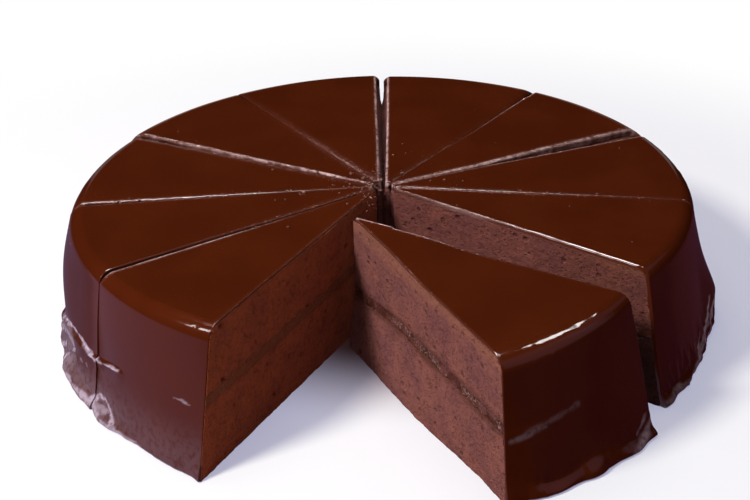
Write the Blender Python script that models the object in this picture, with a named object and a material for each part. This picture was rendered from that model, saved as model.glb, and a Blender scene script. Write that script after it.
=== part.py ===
"""A round iced chocolate cake with a jam filling, cut into twelve: nine slices in the ring and one drawn out.

Metres, +Z up. The origin is on the table under the middle of the cake, -Y is the open front, and angles
are degrees from +X, anticlockwise seen from above. Every slice is four solids: the base sponge, the jam,
the top sponge and the icing that covers its top and its outer side.
"""

import math
from collections import namedtuple

import bmesh
import bpy

# Driving dimensions of the cake
TOP_RADIUS = 0.124  # cake axis to the outer side, just under the rounded shoulder
HEIGHT = 0.055
SHOULDER = 0.006  # radius of the icing where the top turns into the side
ICING = 0.0028  # thickness of the icing, square to the surface
BASE_SPONGE = 0.0265  # height of the lower sponge
JAM = 0.0042
FIT_GAP = 0.0003  # clearance between two solids that lie on each other

# The jam lies level in the ring. In the drawn slice it sinks towards the point.
JAM_SINK = 0.0035
SINK_REACH = 0.045  # from the point to where the jam is level again

# The icing ran down to the board and set in an uneven foot
FOOT_HEIGHT = 0.009
FOOT_SWELL = 0.0022  # how far the foot stands out, on average
FOOT_RIPPLE = 0.0011  # how much that varies round the cake
FOOT_SHARE_BELOW = 0.8  # share of the swell that is left where the foot meets the board
RIPPLES = ((17.0, 0.6), (41.0, 0.4))  # waves round the cake and their shares of the ripple

# Cutting
RING_TIP = 0.0022  # the slices' tips are blunt, this far from the point where the two cuts meet
RING_PUSH = 0.0025  # each slice of the ring was nudged outwards, which opens the knife cuts

# Mesh
STATION_STEP = 2.2  # degrees between the cross-sections that the outer side is built on
SHOULDER_STEPS = 4
SINK_STEPS = 3
SHARP_ANGLE = 35.0  # degrees past which an edge is shaded sharp

Slice = namedtuple("Slice", "name start end apex lengths flares jam_sink")

# The ring, anticlockwise from the front right: start and end face in degrees, how far the side stands
# out from TOP_RADIUS at each face, and how far it leans out there between the shoulder and the board
RING = (
    (-38.0, -9.1, (-0.0050, -0.0016), (0.0090, 0.0090)),
    (-7.9, 21.6, (-0.0016, -0.0006), (0.0090, 0.0090)),
    (25.6, 53.9, (-0.0006, -0.0004), (0.0090, 0.0085)),
    (55.6, 88.7, (-0.0004, -0.0004), (0.0085, 0.0085)),
    (91.2, 122.3, (0.0008, 0.0006), (0.0085, 0.0085)),
    (123.3, 151.3, (0.0003, 0.0002), (0.0085, 0.0085)),
    (154.0, 184.9, (-0.0014, -0.0002), (0.0085, 0.0082)),
    (186.0, 212.8, (0.0000, -0.0004), (0.0080, 0.0070)),
    (214.0, 241.5, (-0.0006, -0.0014), (0.0065, 0.0120)),
)

# The slice that was drawn out towards the front
DRAWN_START, DRAWN_END = -63.8, -31.5
DRAWN_APEX = (-0.0127, -0.0288)
DRAWN_LENGTHS = (0.1120, 0.1150)  # from its point to the side under the shoulder, at each face
DRAWN_FLARES = (0.0050, 0.0118)

MATERIALS = {
    "icing": ((0.045, 0.010, 0.004), 0.14),
    "sponge": ((0.170, 0.060, 0.045), 0.85),
    "jam": ((0.060, 0.018, 0.010), 0.35),
}


def clear_scene():
    for obj in list(bpy.data.objects):
        bpy.data.objects.remove(obj)


def make_materials():
    made = {}
    for name, (colour, roughness) in MATERIALS.items():
        material = bpy.data.materials.new(name)
        material.use_nodes = True
        shader = material.node_tree.nodes["Principled BSDF"]
        shader.inputs["Base Color"].default_value = (*colour, 1.0)
        shader.inputs["Roughness"].default_value = roughness
        shader.inputs["Metallic"].default_value = 0.0
        made[name] = material
    return made


def slices():
    """The ring's slices, each with its point pushed out along its middle, and the drawn one."""
    found = []
    for number, (start, end, offsets, flares) in enumerate(RING, 1):
        middle = math.radians((start + end) / 2)
        apex = (RING_PUSH * math.cos(middle), RING_PUSH * math.sin(middle))
        lengths = tuple(TOP_RADIUS - RING_PUSH + offset for offset in offsets)
        found.append(Slice(f"slice_{number}", start, end, apex, lengths, flares, 0.0))
    drawn = Slice("slice_drawn", DRAWN_START, DRAWN_END, DRAWN_APEX, DRAWN_LENGTHS, DRAWN_FLARES, JAM_SINK)
    return found + [drawn]


def lean(flare):
    """How far the outer side leans from upright, in radians."""
    return math.atan(flare / (HEIGHT - SHOULDER))


def reach(height, length, flare, inset):
    """Distance from the slice's point to its outer side at a height, inset square to the icing's surface."""
    angle = lean(flare)
    radius = SHOULDER - inset
    centre, level = length - SHOULDER, HEIGHT - SHOULDER
    tangent = level + radius * math.sin(angle)
    if height > tangent:
        return centre + math.sqrt(max(radius**2 - (height - level) ** 2, 0.0))
    return centre + radius * math.cos(angle) + (tangent - height) * math.tan(angle)


def shoulder_arc(length, flare, inset):
    """The rounded shoulder from the side up to the flat top, as (distance, height) pairs."""
    radius = SHOULDER - inset
    low, high = lean(flare), math.pi / 2
    turns = [low + (high - low) * step / SHOULDER_STEPS for step in range(SHOULDER_STEPS + 1)]
    centre, level = length - SHOULDER, HEIGHT - SHOULDER
    return [(centre + radius * math.cos(turn), level + radius * math.sin(turn)) for turn in turns]


def layer_edge(height, sink):
    """The line along a layer's surface from its level stretch in to the point, as it sinks by a half cosine."""
    if not sink:
        return [(RING_TIP, height)]
    line = []
    for step in range(SINK_STEPS + 1):
        share = step / SINK_STEPS
        dip = sink * (1 - math.cos(math.pi * share)) / 2
        line.append((SINK_REACH + (RING_TIP - SINK_REACH) * share, height - dip))
    return line


def sponge_section(length, flare, low, high, sink):
    """Outline of a layer between two heights, inside the icing. Only the faces towards the jam sink."""
    inset = ICING + FIT_GAP
    ceiling = HEIGHT - inset
    bottom = layer_edge(low, sink if low else 0.0)
    outline = bottom[::-1] + [(reach(low, length, flare, inset), low)]
    if high < ceiling:
        return outline + [(reach(high, length, flare, inset), high)] + layer_edge(high, sink)
    return outline + shoulder_arc(length, flare, inset) + [(RING_TIP, ceiling)]


def foot(degrees):
    """How far the foot of the icing stands out at an angle round the cake."""
    waves = sum(share * math.sin(math.radians(degrees) * count + count) for count, share in RIPPLES)
    return FOOT_SWELL + FOOT_RIPPLE * waves


def icing_section(length, flare, degrees):
    """Outline of the icing: the outer skin from the board up to the tip, and the inner one back down."""
    swell = foot(degrees)
    outer = [
        (reach(0.0, length, flare, 0.0) + FOOT_SHARE_BELOW * swell, 0.0),
        (reach(FOOT_HEIGHT / 3, length, flare, 0.0) + swell, FOOT_HEIGHT / 3),
        (reach(FOOT_HEIGHT, length, flare, 0.0), FOOT_HEIGHT),
        *shoulder_arc(length, flare, 0.0),
        (RING_TIP, HEIGHT),
    ]
    inner = [
        (RING_TIP, HEIGHT - ICING),
        *reversed(shoulder_arc(length, flare, ICING)),
        (reach(0.0, length, flare, ICING), 0.0),
    ]
    return outer + inner


def between(pair, share):
    """A value that runs evenly from the start face to the end face."""
    return pair[0] + (pair[1] - pair[0]) * share


def loft(name, piece, section, material):
    """One closed solid: section(length, flare, degrees) at every station between the slice's two faces."""
    steps = max(2, round((piece.end - piece.start) / STATION_STEP))
    mesh = bmesh.new()
    rings = []
    for step in range(steps + 1):
        share = step / steps
        degrees = between((piece.start, piece.end), share)
        length, flare = between(piece.lengths, share), between(piece.flares, share)
        across, along = math.cos(math.radians(degrees)), math.sin(math.radians(degrees))
        rings.append(
            [
                mesh.verts.new((piece.apex[0] + r * across, piece.apex[1] + r * along, z))
                for r, z in section(length, flare, degrees)
            ]
        )
    for near, far in zip(rings, rings[1:]):
        count = len(near)
        for i in range(count):
            j = (i + 1) % count
            mesh.faces.new((near[i], near[j], far[j], far[i]))
    mesh.faces.new(rings[0])
    mesh.faces.new(rings[-1])
    bmesh.ops.recalc_face_normals(mesh, faces=mesh.faces)
    data = bpy.data.meshes.new(name)
    mesh.to_mesh(data)
    mesh.free()
    data.materials.append(material)
    data.shade_smooth()
    data.set_sharp_from_angle(angle=math.radians(SHARP_ANGLE))
    obj = bpy.data.objects.new(name, data)
    bpy.context.scene.collection.objects.link(obj)
    return obj


def build_slice(piece, materials):
    """The four solids of one slice, from the board up."""
    jam_low = BASE_SPONGE + FIT_GAP
    top_low = jam_low + JAM + FIT_GAP

    def layer(low, high):
        return lambda length, flare, _: sponge_section(length, flare, low, high, piece.jam_sink)

    loft(f"{piece.name}_base_sponge", piece, layer(0.0, BASE_SPONGE), materials["sponge"])
    loft(f"{piece.name}_jam", piece, layer(jam_low, jam_low + JAM), materials["jam"])
    loft(f"{piece.name}_top_sponge", piece, layer(top_low, HEIGHT), materials["sponge"])
    loft(f"{piece.name}_icing", piece, icing_section, materials["icing"])


def main():
    clear_scene()
    materials = make_materials()
    for piece in slices():
        build_slice(piece, materials)


main()
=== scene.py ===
"""An iced chocolate and jam cake cut into twelve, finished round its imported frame.

Run as a script, it loads the frame, registers the add-on and calls its operators in turn. Metres, +Z up.
The origin is on the board under the middle of the cake and -Y is the open front. Angles are degrees from
+X, anticlockwise seen from above. Every slice has its own icing, upper sponge, jam and lower sponge.
"""

import itertools
import math
from collections import namedtuple

import bpy
import numpy as np
from bpy.props import FloatProperty, FloatVectorProperty, IntProperty, PointerProperty
from mathutils import Matrix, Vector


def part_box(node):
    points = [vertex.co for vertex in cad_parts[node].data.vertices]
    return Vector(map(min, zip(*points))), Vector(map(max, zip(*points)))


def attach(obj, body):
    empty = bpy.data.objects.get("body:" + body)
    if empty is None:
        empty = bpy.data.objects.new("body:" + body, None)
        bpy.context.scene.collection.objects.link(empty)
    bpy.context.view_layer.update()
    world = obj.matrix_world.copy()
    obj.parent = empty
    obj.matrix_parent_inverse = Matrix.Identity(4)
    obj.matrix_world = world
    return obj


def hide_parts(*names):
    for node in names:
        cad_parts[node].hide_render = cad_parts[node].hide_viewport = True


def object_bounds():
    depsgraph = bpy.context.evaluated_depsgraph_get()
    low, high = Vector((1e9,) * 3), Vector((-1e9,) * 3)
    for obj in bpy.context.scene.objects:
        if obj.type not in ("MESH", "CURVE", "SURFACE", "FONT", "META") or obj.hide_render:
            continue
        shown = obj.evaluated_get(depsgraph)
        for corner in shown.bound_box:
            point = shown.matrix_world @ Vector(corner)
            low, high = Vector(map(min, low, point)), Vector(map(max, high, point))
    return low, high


bl_info = {
    "name": "Chocolate cake with jam",
    "version": (1, 0, 0),
    "blender": (4, 5, 0),
    "location": "3D View > Sidebar > Cake",
    "description": "Makes the icing, sponge, jam and crumbs of a cut chocolate cake round its frame",
    "category": "Mesh",
}

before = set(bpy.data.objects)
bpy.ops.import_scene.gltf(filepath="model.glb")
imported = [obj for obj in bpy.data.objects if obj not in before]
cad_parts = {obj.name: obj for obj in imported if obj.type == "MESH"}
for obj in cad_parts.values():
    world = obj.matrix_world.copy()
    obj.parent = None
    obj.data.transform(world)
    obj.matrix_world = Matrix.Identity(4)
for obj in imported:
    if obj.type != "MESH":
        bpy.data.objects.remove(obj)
CAD_BOX = [list(corner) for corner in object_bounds()]

# Heights, read from the frame
HEIGHT = CAD_BOX[1][2]
BASE_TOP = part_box("slice_1_base_sponge")[1].z
JAM_LOW, JAM_HIGH = (corner.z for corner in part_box("slice_1_jam"))
FIT_GAP = JAM_LOW - BASE_TOP
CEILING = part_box("slice_1_top_sponge")[1].z
ICING = HEIGHT - CEILING - FIT_GAP
JAM_SINK = JAM_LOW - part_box("slice_drawn_jam")[0].z

# The frame's own roundings
SHOULDER = 0.006  # radius where the top turns into the side
SINK_REACH = 0.045  # from the drawn slice's point to where its jam is level again
LEVEL = HEIGHT - SHOULDER
INNER_SHOULDER = SHOULDER - ICING
SAME_HEIGHT = 1e-5
DRAWN_RISE = 0.0013  # how far the drawn slice's point stands up
RISE_FADE = (0.026, 0.060)  # from its point, over which that ends
RIM_NEAREST = 0.060  # the rim is further from the cake's axis than this, and every point is nearer

Slice = namedtuple("Slice", "name apex start end tip centres leans sink")


# ---------------------------------------------------------------- arithmetic

HASH_STEPS = (73856093, 19349663, 83492791)
HASH_FACTORS = (2246822519, 3266489917)
HASH_SEED = 668265263
PIT_MARGIN = 0.15  # the nearest that a pit's middle comes to its cell's edge, in cells


def smooth(value, low, high):
    """A soft step from 0 at low to 1 at high: 3t^2 - 2t^3 of the share t of the way."""
    t = np.clip((value - low) / (high - low), 0.0, 1.0)
    return t * t * (3 - 2 * t)


def window(value, low, full, falls, gone):
    """A soft step up from low to full, and down again from where it falls to where it is gone."""
    return smooth(value, low, full) * (1 - smooth(value, falls, gone))


def bump(value, middle, reach):
    """A soft hill: 1 in the middle, 0 from reach away on, (1 - t^2)^2 between."""
    t = np.clip((value - middle) / reach, -1.0, 1.0)
    return (1 - t * t) ** 2


def between(pair, share):
    """A value that runs evenly from a slice's start face to its end face."""
    return pair[0] + (pair[1] - pair[0]) * share


def turned(degrees, middle):
    """How many degrees an angle is past a middle one, the short way round."""
    return (degrees - middle + 180.0) % 360.0 - 180.0


def scatter(cells, seed):
    """Evenly spread numbers from 0 to 1 for whole-number cells: their places multiplied, mixed and masked."""
    mixed = np.full(cells.shape[:-1], seed * HASH_SEED, np.int64)
    for axis in range(cells.shape[-1]):
        mixed = mixed ^ cells[..., axis] * HASH_STEPS[axis]
    for factor in HASH_FACTORS:
        mixed &= 0xFFFFFFFF
        mixed = (mixed ^ mixed >> 15) * factor
    return (mixed & 0xFFFFFFFF) / 2**32


def noise(points, size, seed):
    """Soft noise from -1 to 1: numbers at lattice corners a size apart, blended between by 3t^2 - 2t^3."""
    scaled = points / size
    cell = np.floor(scaled).astype(np.int64)
    t = scaled - cell
    t = t * t * (3 - 2 * t)
    total = np.zeros(cell.shape[:-1])
    for corner in itertools.product((0, 1), repeat=cell.shape[-1]):
        weight = np.prod(np.where(np.array(corner), t, 1 - t), axis=-1)
        total += weight * scatter(cell + np.array(corner), seed)
    return 2 * total - 1


def layered(points, size, seed, layers=3):
    """Noise plus finer noise: each layer half the size and half the height of the one before."""
    total = sum(noise(points, size / 2**k, seed + k) / 2**k for k in range(layers))
    return total / (2 - 2 ** (1 - layers))


def plane(across, up):
    """Two coordinates as places on a plane."""
    return np.stack(np.broadcast_arrays(across, up), axis=-1)


def polar(turn, far):
    """Places on a plane at angles and distances from the middle."""
    return np.stack([far * np.cos(turn), far * np.sin(turn)], axis=-1)


def pits(points, cell, smallest, largest, share, seed):
    """Round pits, one to a cell in a share of the cells: depth in radii, a cap of (1 - t^2) under each."""
    home = np.floor(points / cell).astype(np.int64)
    depth = np.zeros(home.shape[:-1])
    for step in itertools.product((-1, 0, 1), repeat=2):
        near = home + np.array(step)
        place = plane(scatter(near, seed), scatter(near, seed + 1))
        radius = smallest + (largest - smallest) * scatter(near, seed + 2) ** 2
        middle = near + PIT_MARGIN + (1 - 2 * PIT_MARGIN) * place
        apart = np.linalg.norm(middle * cell - points, axis=-1) / radius
        there = scatter(near, seed + 3) < share
        depth = np.maximum(depth, np.where(there, radius * np.clip(1 - apart**2, 0, 1), 0.0))
    return depth


# ---------------------------------------------------------------- slices of the frame


def read_points(node):
    """A node's vertices as an array of places."""
    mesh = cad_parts[node].data
    found = np.empty(len(mesh.vertices) * 3)
    mesh.vertices.foreach_get("co", found)
    return found.reshape(-1, 3)


def read_slice(name):
    """A slice's point, cut angles, shoulder and lean, from the corners of its base sponge.

    The two cuts meet at the point. The side's slope is how much further out it is at the board than at the
    jam, and going up that slope and back by the inner radius gives the middle of the shoulder's arc.
    """
    points = read_points(f"{name}_base_sponge")
    far = np.hypot(points[:, 0], points[:, 1]) > RIM_NEAREST
    low, high = points[:, 2] < SAME_HEIGHT, points[:, 2] > BASE_TOP - SAME_HEIGHT
    tips, feet, tops = (points[group][:, :2] for group in (low & ~far, low & far, high & far))
    middle = feet.mean(0) - tips.mean(0)
    aside = np.array([-middle[1], middle[0]])
    tips, feet, tops = (g[[np.argmin(g @ aside), np.argmax(g @ aside)]] for g in (tips, feet, tops))
    ways = feet - tips
    ways /= np.linalg.norm(ways, axis=1)[:, None]
    steps = np.linalg.solve(np.column_stack([ways[0], -ways[1]]), tips[1] - tips[0])
    apex = tips[0] + steps[0] * ways[0]
    start = (math.degrees(math.atan2(ways[0, 1], ways[0, 0])) + 90.0) % 360.0 - 90.0
    end = start + (math.degrees(math.atan2(ways[1, 1], ways[1, 0])) - start) % 360.0
    reaches = np.linalg.norm(feet - apex, axis=1)
    leans = np.arctan((reaches - np.linalg.norm(tops - apex, axis=1)) / BASE_TOP)
    centres = reaches - (INNER_SHOULDER - FIT_GAP) / np.cos(leans) - LEVEL * np.tan(leans)
    sink = JAM_SINK if name == "slice_drawn" else 0.0
    return Slice(name, apex, start, end, float(np.linalg.norm(tips[0] - apex)), centres, leans, sink)


SLICES = {name: read_slice(name) for name in sorted(n[:-4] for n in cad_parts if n.endswith("_jam"))}


def next_slice(piece, at_end):
    """The slice that stands across a cut of the ring, or None."""
    number = piece.name.rpartition("_")[2]
    return SLICES.get(f"slice_{int(number) + (1 if at_end else -1)}") if number.isdigit() else None


def cut_width(piece, at_end, radius):
    """The knife cut's width along one face: the distance from its points to the next slice's, or None."""
    other = next_slice(piece, at_end)
    if other is None:
        return None
    own = math.radians(piece.end if at_end else piece.start)
    facing = math.radians(other.start if at_end else other.end)
    x, y = (c + radius * w - o for c, w, o in zip(piece.apex, (math.cos(own), math.sin(own)), other.apex))
    return np.abs(math.cos(facing) * y - math.sin(facing) * x)


def tip_rise(piece, radius):
    """The drawn slice's point sits a little proud of the rest."""
    return DRAWN_RISE * (1 - smooth(radius, *RISE_FADE)) if piece.name == "slice_drawn" else 0.0 * radius


# ---------------------------------------------------------------- meshes


def make_piece(name, points, corners, sizes, material, slot, nodes, masks=None):
    """A closed smooth mesh from places and faces, facing out, that rides on the cake for its nodes."""
    starts = np.concatenate([[0], np.cumsum(sizes)[:-1]])
    mesh = bpy.data.meshes.new(name)
    mesh.vertices.add(len(points))
    mesh.vertices.foreach_set("co", points.astype(np.float32).ravel())
    mesh.loops.add(len(corners))
    mesh.loops.foreach_set("vertex_index", corners.astype(np.int32))
    mesh.polygons.add(len(sizes))
    mesh.polygons.foreach_set("loop_start", starts.astype(np.int32))
    mesh.update(calc_edges=True)
    mesh.shade_smooth()
    for mask, values in (masks or {}).items():
        mesh.attributes.new(mask, "FLOAT", "POINT").data.foreach_set("value", values.astype(np.float32))
    mesh.materials.append(material)
    obj = bpy.data.objects.new(name, mesh)
    bpy.context.scene.collection.objects.link(obj)
    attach(obj, "root")
    if nodes:
        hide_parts(*nodes)
    return obj


def tube_quads(count, around):
    """The places round one ring, the ones after them, and the quads between neighbouring rings."""
    here = np.arange(around)
    after = (here + 1) % around
    base = (np.arange(count - 1) * around)[:, None]
    quads = np.stack([base + here, base + after, base + around + after, base + around + here], axis=-1)
    return here, after, quads.reshape(-1)


def closed_rings(rings):
    """Faces of a tube of closed rings with a point at each end, the ends drawn in to the rings' middles.

    rings is (ring, place round it, xyz). Quads join neighbouring rings and triangles fan out from the points.
    """
    count, around = rings.shape[:2]
    points = np.concatenate([rings.reshape(-1, 3), rings[0].mean(0)[None], rings[-1].mean(0)[None]])
    here, after, quads = tube_quads(count, around)
    first, last, top = count * around, count * around + 1, (count - 1) * around
    near = np.stack([np.full(around, first), after, here], axis=-1)
    away = np.stack([np.full(around, last), top + here, top + after], axis=-1)
    corners = np.concatenate([quads, near.reshape(-1), away.reshape(-1)])
    sizes = np.concatenate([np.full((count - 1) * around, 4), np.full(2 * around, 3)])
    return points, *facing_out(points, corners, sizes)


def facing_out(points, corners, sizes):
    """The same faces, turned round if the volume that they close comes out negative."""
    starts = np.concatenate([[0], np.cumsum(sizes)[:-1]])
    a, b, c = (points[corners[starts + step]] for step in range(3))
    volume = np.einsum("ij,ij->i", a, np.cross(b, c)).sum()
    quads = sizes == 4
    d = points[corners[starts[quads] + 3]]
    volume += np.einsum("ij,ij->i", a[quads], np.cross(c[quads], d)).sum()
    return (corners, sizes) if volume > 0 else (corners[::-1].copy(), sizes[::-1].copy())


# ---------------------------------------------------------------- icing

FLAT_STEP = 0.0011  # between the places along the top where the icing's outline is set
SIDE_STEP = 0.0005
ACROSS_STEP = 0.0006
TURN_STEPS = 14
EDGE_STEPS = 6
WALL_STEPS = 4
UNDER_STEPS = 12
TIP_ROUND = 0.0006  # radius at the blunt tip's upper edge
BOARD_TURN = 0.005  # height under which the icing's thickness is laid level, so that it ends on the board
BOARD_ROUND = 0.0012
SIDE_FILLED = 0.5  # share of a cut's width that each slice's icing fills, once over the shoulder
MOST_FILLED = 0.97  # the same for two slices together along the top
SHUT = (0.0008, 0.0052)  # depth below the top over which the icing comes to fill a cut
WIDE_CUT = {("slice_4", True), ("slice_5", False)}  # the cut that one can see through at the back
WIDE_LEFT = 0.15  # share of that cut's width that each side leaves open

Edge = namedtuple("Edge", "reach wide deep rough smear spread steps")

# How each cut's icing set, in millimetres. From the point outwards at REACH_AT: how far it reaches past the
# cut face, and how wide and how deep its edge is rounded. Then how ragged it is, how strongly crumbs are
# smeared into it at REACH_AT (over 1 is a pale painted highlight), how far in from the edge they go, and
# steps in its reach as (metres, change).
REACH_AT = (0.010, 0.040, 0.075, 0.110)
CUT_EDGES = {
    ("slice_1", False): Edge(
        (-0.4, -0.45, -0.55, -0.35), (0.7, 1.1, 1.4, 1.4), (0.7, 1.0, 1.2, 1.2),
        0.05, (1.1, 1.45, 0.0, 0.0), 0.7, ((0.068, -0.2), (0.073, 0.2)),
    ),
    ("slice_1", True): Edge(
        (0.3, 0.5, 1.0, 1.4), (0.4, 0.4, 0.2, 0.2), (0.3, 0.3, 0.15, 0.15),
        0.02, (1.6, 1.45, 0.2, 0.1), 1.0, (),
    ),
    ("slice_2", False): Edge(
        (0.6, 0.9, 1.1, 1.2), (1.4, 1.4, 1.0, 0.8), (0.3, 0.3, 0.2, 0.2),
        0.02, (0.7, 0.5, 0.2, 0.1), 1.8, (),
    ),
    ("slice_2", True): Edge(
        (0.9, 1.5, 1.6, 1.6), (0.9, 0.9, 0.8, 0.8), (0.7, 0.7, 0.6, 0.6),
        0.08, (1.5, 1.65, 1.8, 1.7), 1.3, (),
    ),
    ("slice_3", False): Edge(
        (0.9, 1.3, 0.1, 0.4), (2.0, 2.4, 1.4, 0.9), (0.6, 0.8, 0.9, 0.8),
        0.08, (1.3, 1.6, 1.6, 1.5), 2.0, (),
    ),
    ("slice_3", True): Edge(
        (0.0, 0.0, 0.2, 0.8), (0.5, 0.5, 0.8, 0.7), (0.25, 0.25, 0.5, 0.6),
        0.02, (0.0, 0.0, 1.5, 2.0), 0.9, ((0.109, -0.5),),
    ),
    ("slice_4", False): Edge(
        (1.4, 2.6, 3.5, 2.6), (1.8, 3.0, 3.8, 3.4), (0.9, 1.0, 1.2, 1.4),
        0.06, (0.3, 0.2, 0.1, 0.0), 2.2, ((0.112, -0.8),),
    ),
    ("slice_4", True): Edge(
        (0.0, 0.1, 0.2, 0.6), (1.2, 1.4, 1.4, 1.4), (0.9, 1.1, 1.1, 1.1),
        0.06, (1.9, 2.0, 2.0, 1.9), 1.2, (),
    ),
    ("slice_5", False): Edge(
        (-0.6, 0.0, 0.2, 0.6), (1.2, 1.4, 1.4, 1.4), (0.9, 1.0, 1.0, 1.0),
        0.09, (1.9, 2.0, 2.0, 2.0), 1.3, (),
    ),
    ("slice_5", True): Edge(
        (1.2, 1.8, 2.3, 2.4), (1.1, 1.2, 1.2, 1.0), (0.35, 0.35, 0.3, 0.3),
        0.03, (0.9, 0.8, 0.35, 0.1), 2.8, (),
    ),
    ("slice_6", False): Edge(
        (0.0, 0.0, 0.1, 0.2), (0.8, 0.6, 0.15, 0.15), (0.3, 0.25, 0.1, 0.1),
        0.05, (0.5, 0.4, 0.1, 0.0), 2.2, ((0.112, -0.5),),
    ),
    ("slice_6", True): Edge(
        (0.9, 1.0, 1.0, 0.9), (1.2, 1.4, 2.2, 2.0), (0.8, 0.9, 1.4, 1.3),
        0.2, (2.0, 2.0, 1.45, 1.4), 1.15, (),
    ),
    ("slice_7", False): Edge(
        (0.8, 1.3, 2.6, 3.2), (0.9, 1.5, 2.8, 3.4), (0.8, 0.9, 1.2, 1.2),
        0.2, (0.5, 0.9, 1.35, 1.35), 3.0, (),
    ),
    ("slice_7", True): Edge(
        (0.4, 0.7, 1.0, 1.2), (0.8, 0.8, 1.6, 1.6), (0.12, 0.15, 0.6, 0.7),
        0.05, (0.1, 0.2, 0.7, 0.7), 1.6, (),
    ),
    ("slice_8", False): Edge(
        (0.3, 0.6, 0.7, 0.7), (0.15, 0.2, 0.8, 0.8), (0.1, 0.1, 0.7, 0.7),
        0.06, (0.1, 0.1, 1.7, 1.6), 0.75, (),
    ),
    ("slice_8", True): Edge(
        (0.5, 0.7, 0.7, 1.0), (0.8, 1.0, 1.2, 0.8), (0.15, 0.2, 0.5, 0.3),
        0.04, (0.5, 0.3, 0.1, 0.0), 2.0, (),
    ),
    ("slice_9", False): Edge(
        (0.2, 0.3, 0.5, 0.8), (0.3, 0.4, 0.6, 0.5), (0.15, 0.2, 0.5, 0.3),
        0.03, (0.2, 0.5, 2.0, 1.5), 1.4, (),
    ),
    ("slice_9", True): Edge(
        (-0.55, -0.55, -0.55, -0.5), (0.1, 0.1, 0.1, 0.1), (0.08, 0.08, 0.08, 0.08),
        0.03, (0.6, 0.5, 0.4, 0.3), 1.0, (),
    ),
    ("slice_drawn", False): Edge(
        (-1.0, -0.6, -0.5, -0.4), (0.9, 0.8, 0.8, 0.7), (0.25, 0.25, 0.25, 0.25),
        0.05, (0.5, 0.5, 0.4, 0.3), 0.9, (),
    ),
    ("slice_drawn", True): Edge(
        (0.9, 1.0, 0.9, 0.9), (0.5, 0.6, 0.6, 0.8), (0.4, 0.5, 0.5, 0.7),
        0.05, (2.0, 1.35, 0.3, 0.2), 1.3, ((0.0185, -0.9),),
    ),
}
MM = 0.001
STEP_SOFT = 0.0007
SIDE_EDGE = 0.00008  # radius of each cut edge down the side
OPEN_SIDE_EDGE = 0.00032  # and where nothing stands next to it
BURIED = 0.0009  # how deep the icing's wall goes into the sponge at its foot, on an open cut face
SIDE_ROUGH = 0.35  # how ragged a cut's edge is down the side, as a share of the top's
REACH_ROUGH, EDGE_UNEVEN = 1.6, 0.35
REACH_GRAIN, EDGE_GRAIN = (0.0050, 100), (0.0075, 200)  # size in metres and seed, to which the cut's is added
TORN_IN = (0.4, 1.2, 0.0006)  # where an edge's raggedness ends: shares of its width, and metres more
SMEARED, PAINTED_HIGHLIGHT_ENDS = (0.4, 1.6), (0.45, 0.95)  # where smears and painted highlights end, as shares of the cut's spread
ROUGHEST = 0.20  # where the painted highlight along a cut is the most broken up
BROKEN, FLAKY, FAINTEST = 0.62, 2.2, 0.04  # how much less of it there is then, how patchy and the least
CUT_STEEP, SHUT_FADE = 2.5, 0.8
ROOM, NARROWEST = 0.42, 0.0004  # the share of a slice's width that one edge's rounding can take
SIDE_FROM = (0.30, 1.0)  # share of the turn over the shoulder where the side's relief starts
TOP_WAVES = 0.00006
BOARD_IN = 0.8
SUNK = (0.0002, 0.0003)  # how far the underside lies in the sponge, and how much that varies
THINNEST = 0.0002

OPEN_FACES = {("slice_9", True), ("slice_drawn", False), ("slice_drawn", True), ("slice_1", False)}
CutLine = namedtuple("CutLine", "reach wide deep ragged smear")
Swelling = namedtuple("Swelling", "angle wide height tall out")

# Size in metres and seed of each unevenness
GRAIN = {
    "fold line": (0.004, 31),
    "fold bead": (0.003, 33),
    "fold tears": (0.0050, 37),
    "foot flaps": (0.011, 41),
    "foot top": (0.017, 43),
    "low streaks": (0.0045, 47),
    "uneven side": (0.018, 53),
    "top waves": (0.045, 61),
    "rim beads": (0.0036, 63),
    "torn edge": (0.0026, 65),
    "underside": (0.004, 67),
    "strands": (0.0034, 71),
    "streak edges": (0.0030, 81),
    "fine crumb": (0.0017, 71),
    "torn crumb": (0.0070, 73),
    "jam lumps": (0.0028, 97),
    "mask edges": (0.006, 107),
    "jam's lower face": (0.012, 301),
    "lower face, fine": (0.0030, 305),
    "jam's upper face": (0.010, 311),
    "upper face, fine": (0.0034, 315),
}

# The icing ran down to the board and set in an uneven foot
FOOT_SWELL = 0.0014
FOOT_RIPPLE = 0.0010
RIPPLES = ((17.0, 0.6), (41.0, 0.4))  # waves round the cake and their shares of the ripple
FLAPS = 1.1  # and the flaps' share
FOOT_CHANGE = 0.0016  # how much further or less far it stands out in places
FOOT_LEAST = 0.0001
FULL_FOOT = (191.0, 203.0, 216.0, 222.0)  # the angles where that starts, is full, ends and is gone
SLIGHT_FOOT = (219.0, 226.0, 238.0, 242.0)
FOOT_TOP, FOOT_WAVER = 0.0085, 0.0045

# A second skin of icing folded over the left side: its upper edge, as angle and height
FOLD_LINE = (
    (184.0, 0.0030),
    (190.0, 0.0110),
    (194.0, 0.0150),
    (198.0, 0.0178),
    (205.5, 0.0194),
    (212.0, 0.0203),
    (217.0, 0.0228),
    (221.5, 0.0244),
    (224.0, 0.0240),
)
FOLD_WAVER = 0.0004
FOLD_ENDS = (185.0, 189.0, 220.0, 223.0)
FOLD_THICK = 0.0007
FOLD_BEAD = 0.0006
FOLD_TEARS = 0.0004
# How torn it is, as angle and share
FOLD_TORN = (
    (186.0, 0.3),
    (190.0, 1.0),
    (201.0, 1.0),
    (206.0, 0.45),
    (212.0, 0.5),
    (217.0, 0.9),
    (223.0, 0.2),
)

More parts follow.
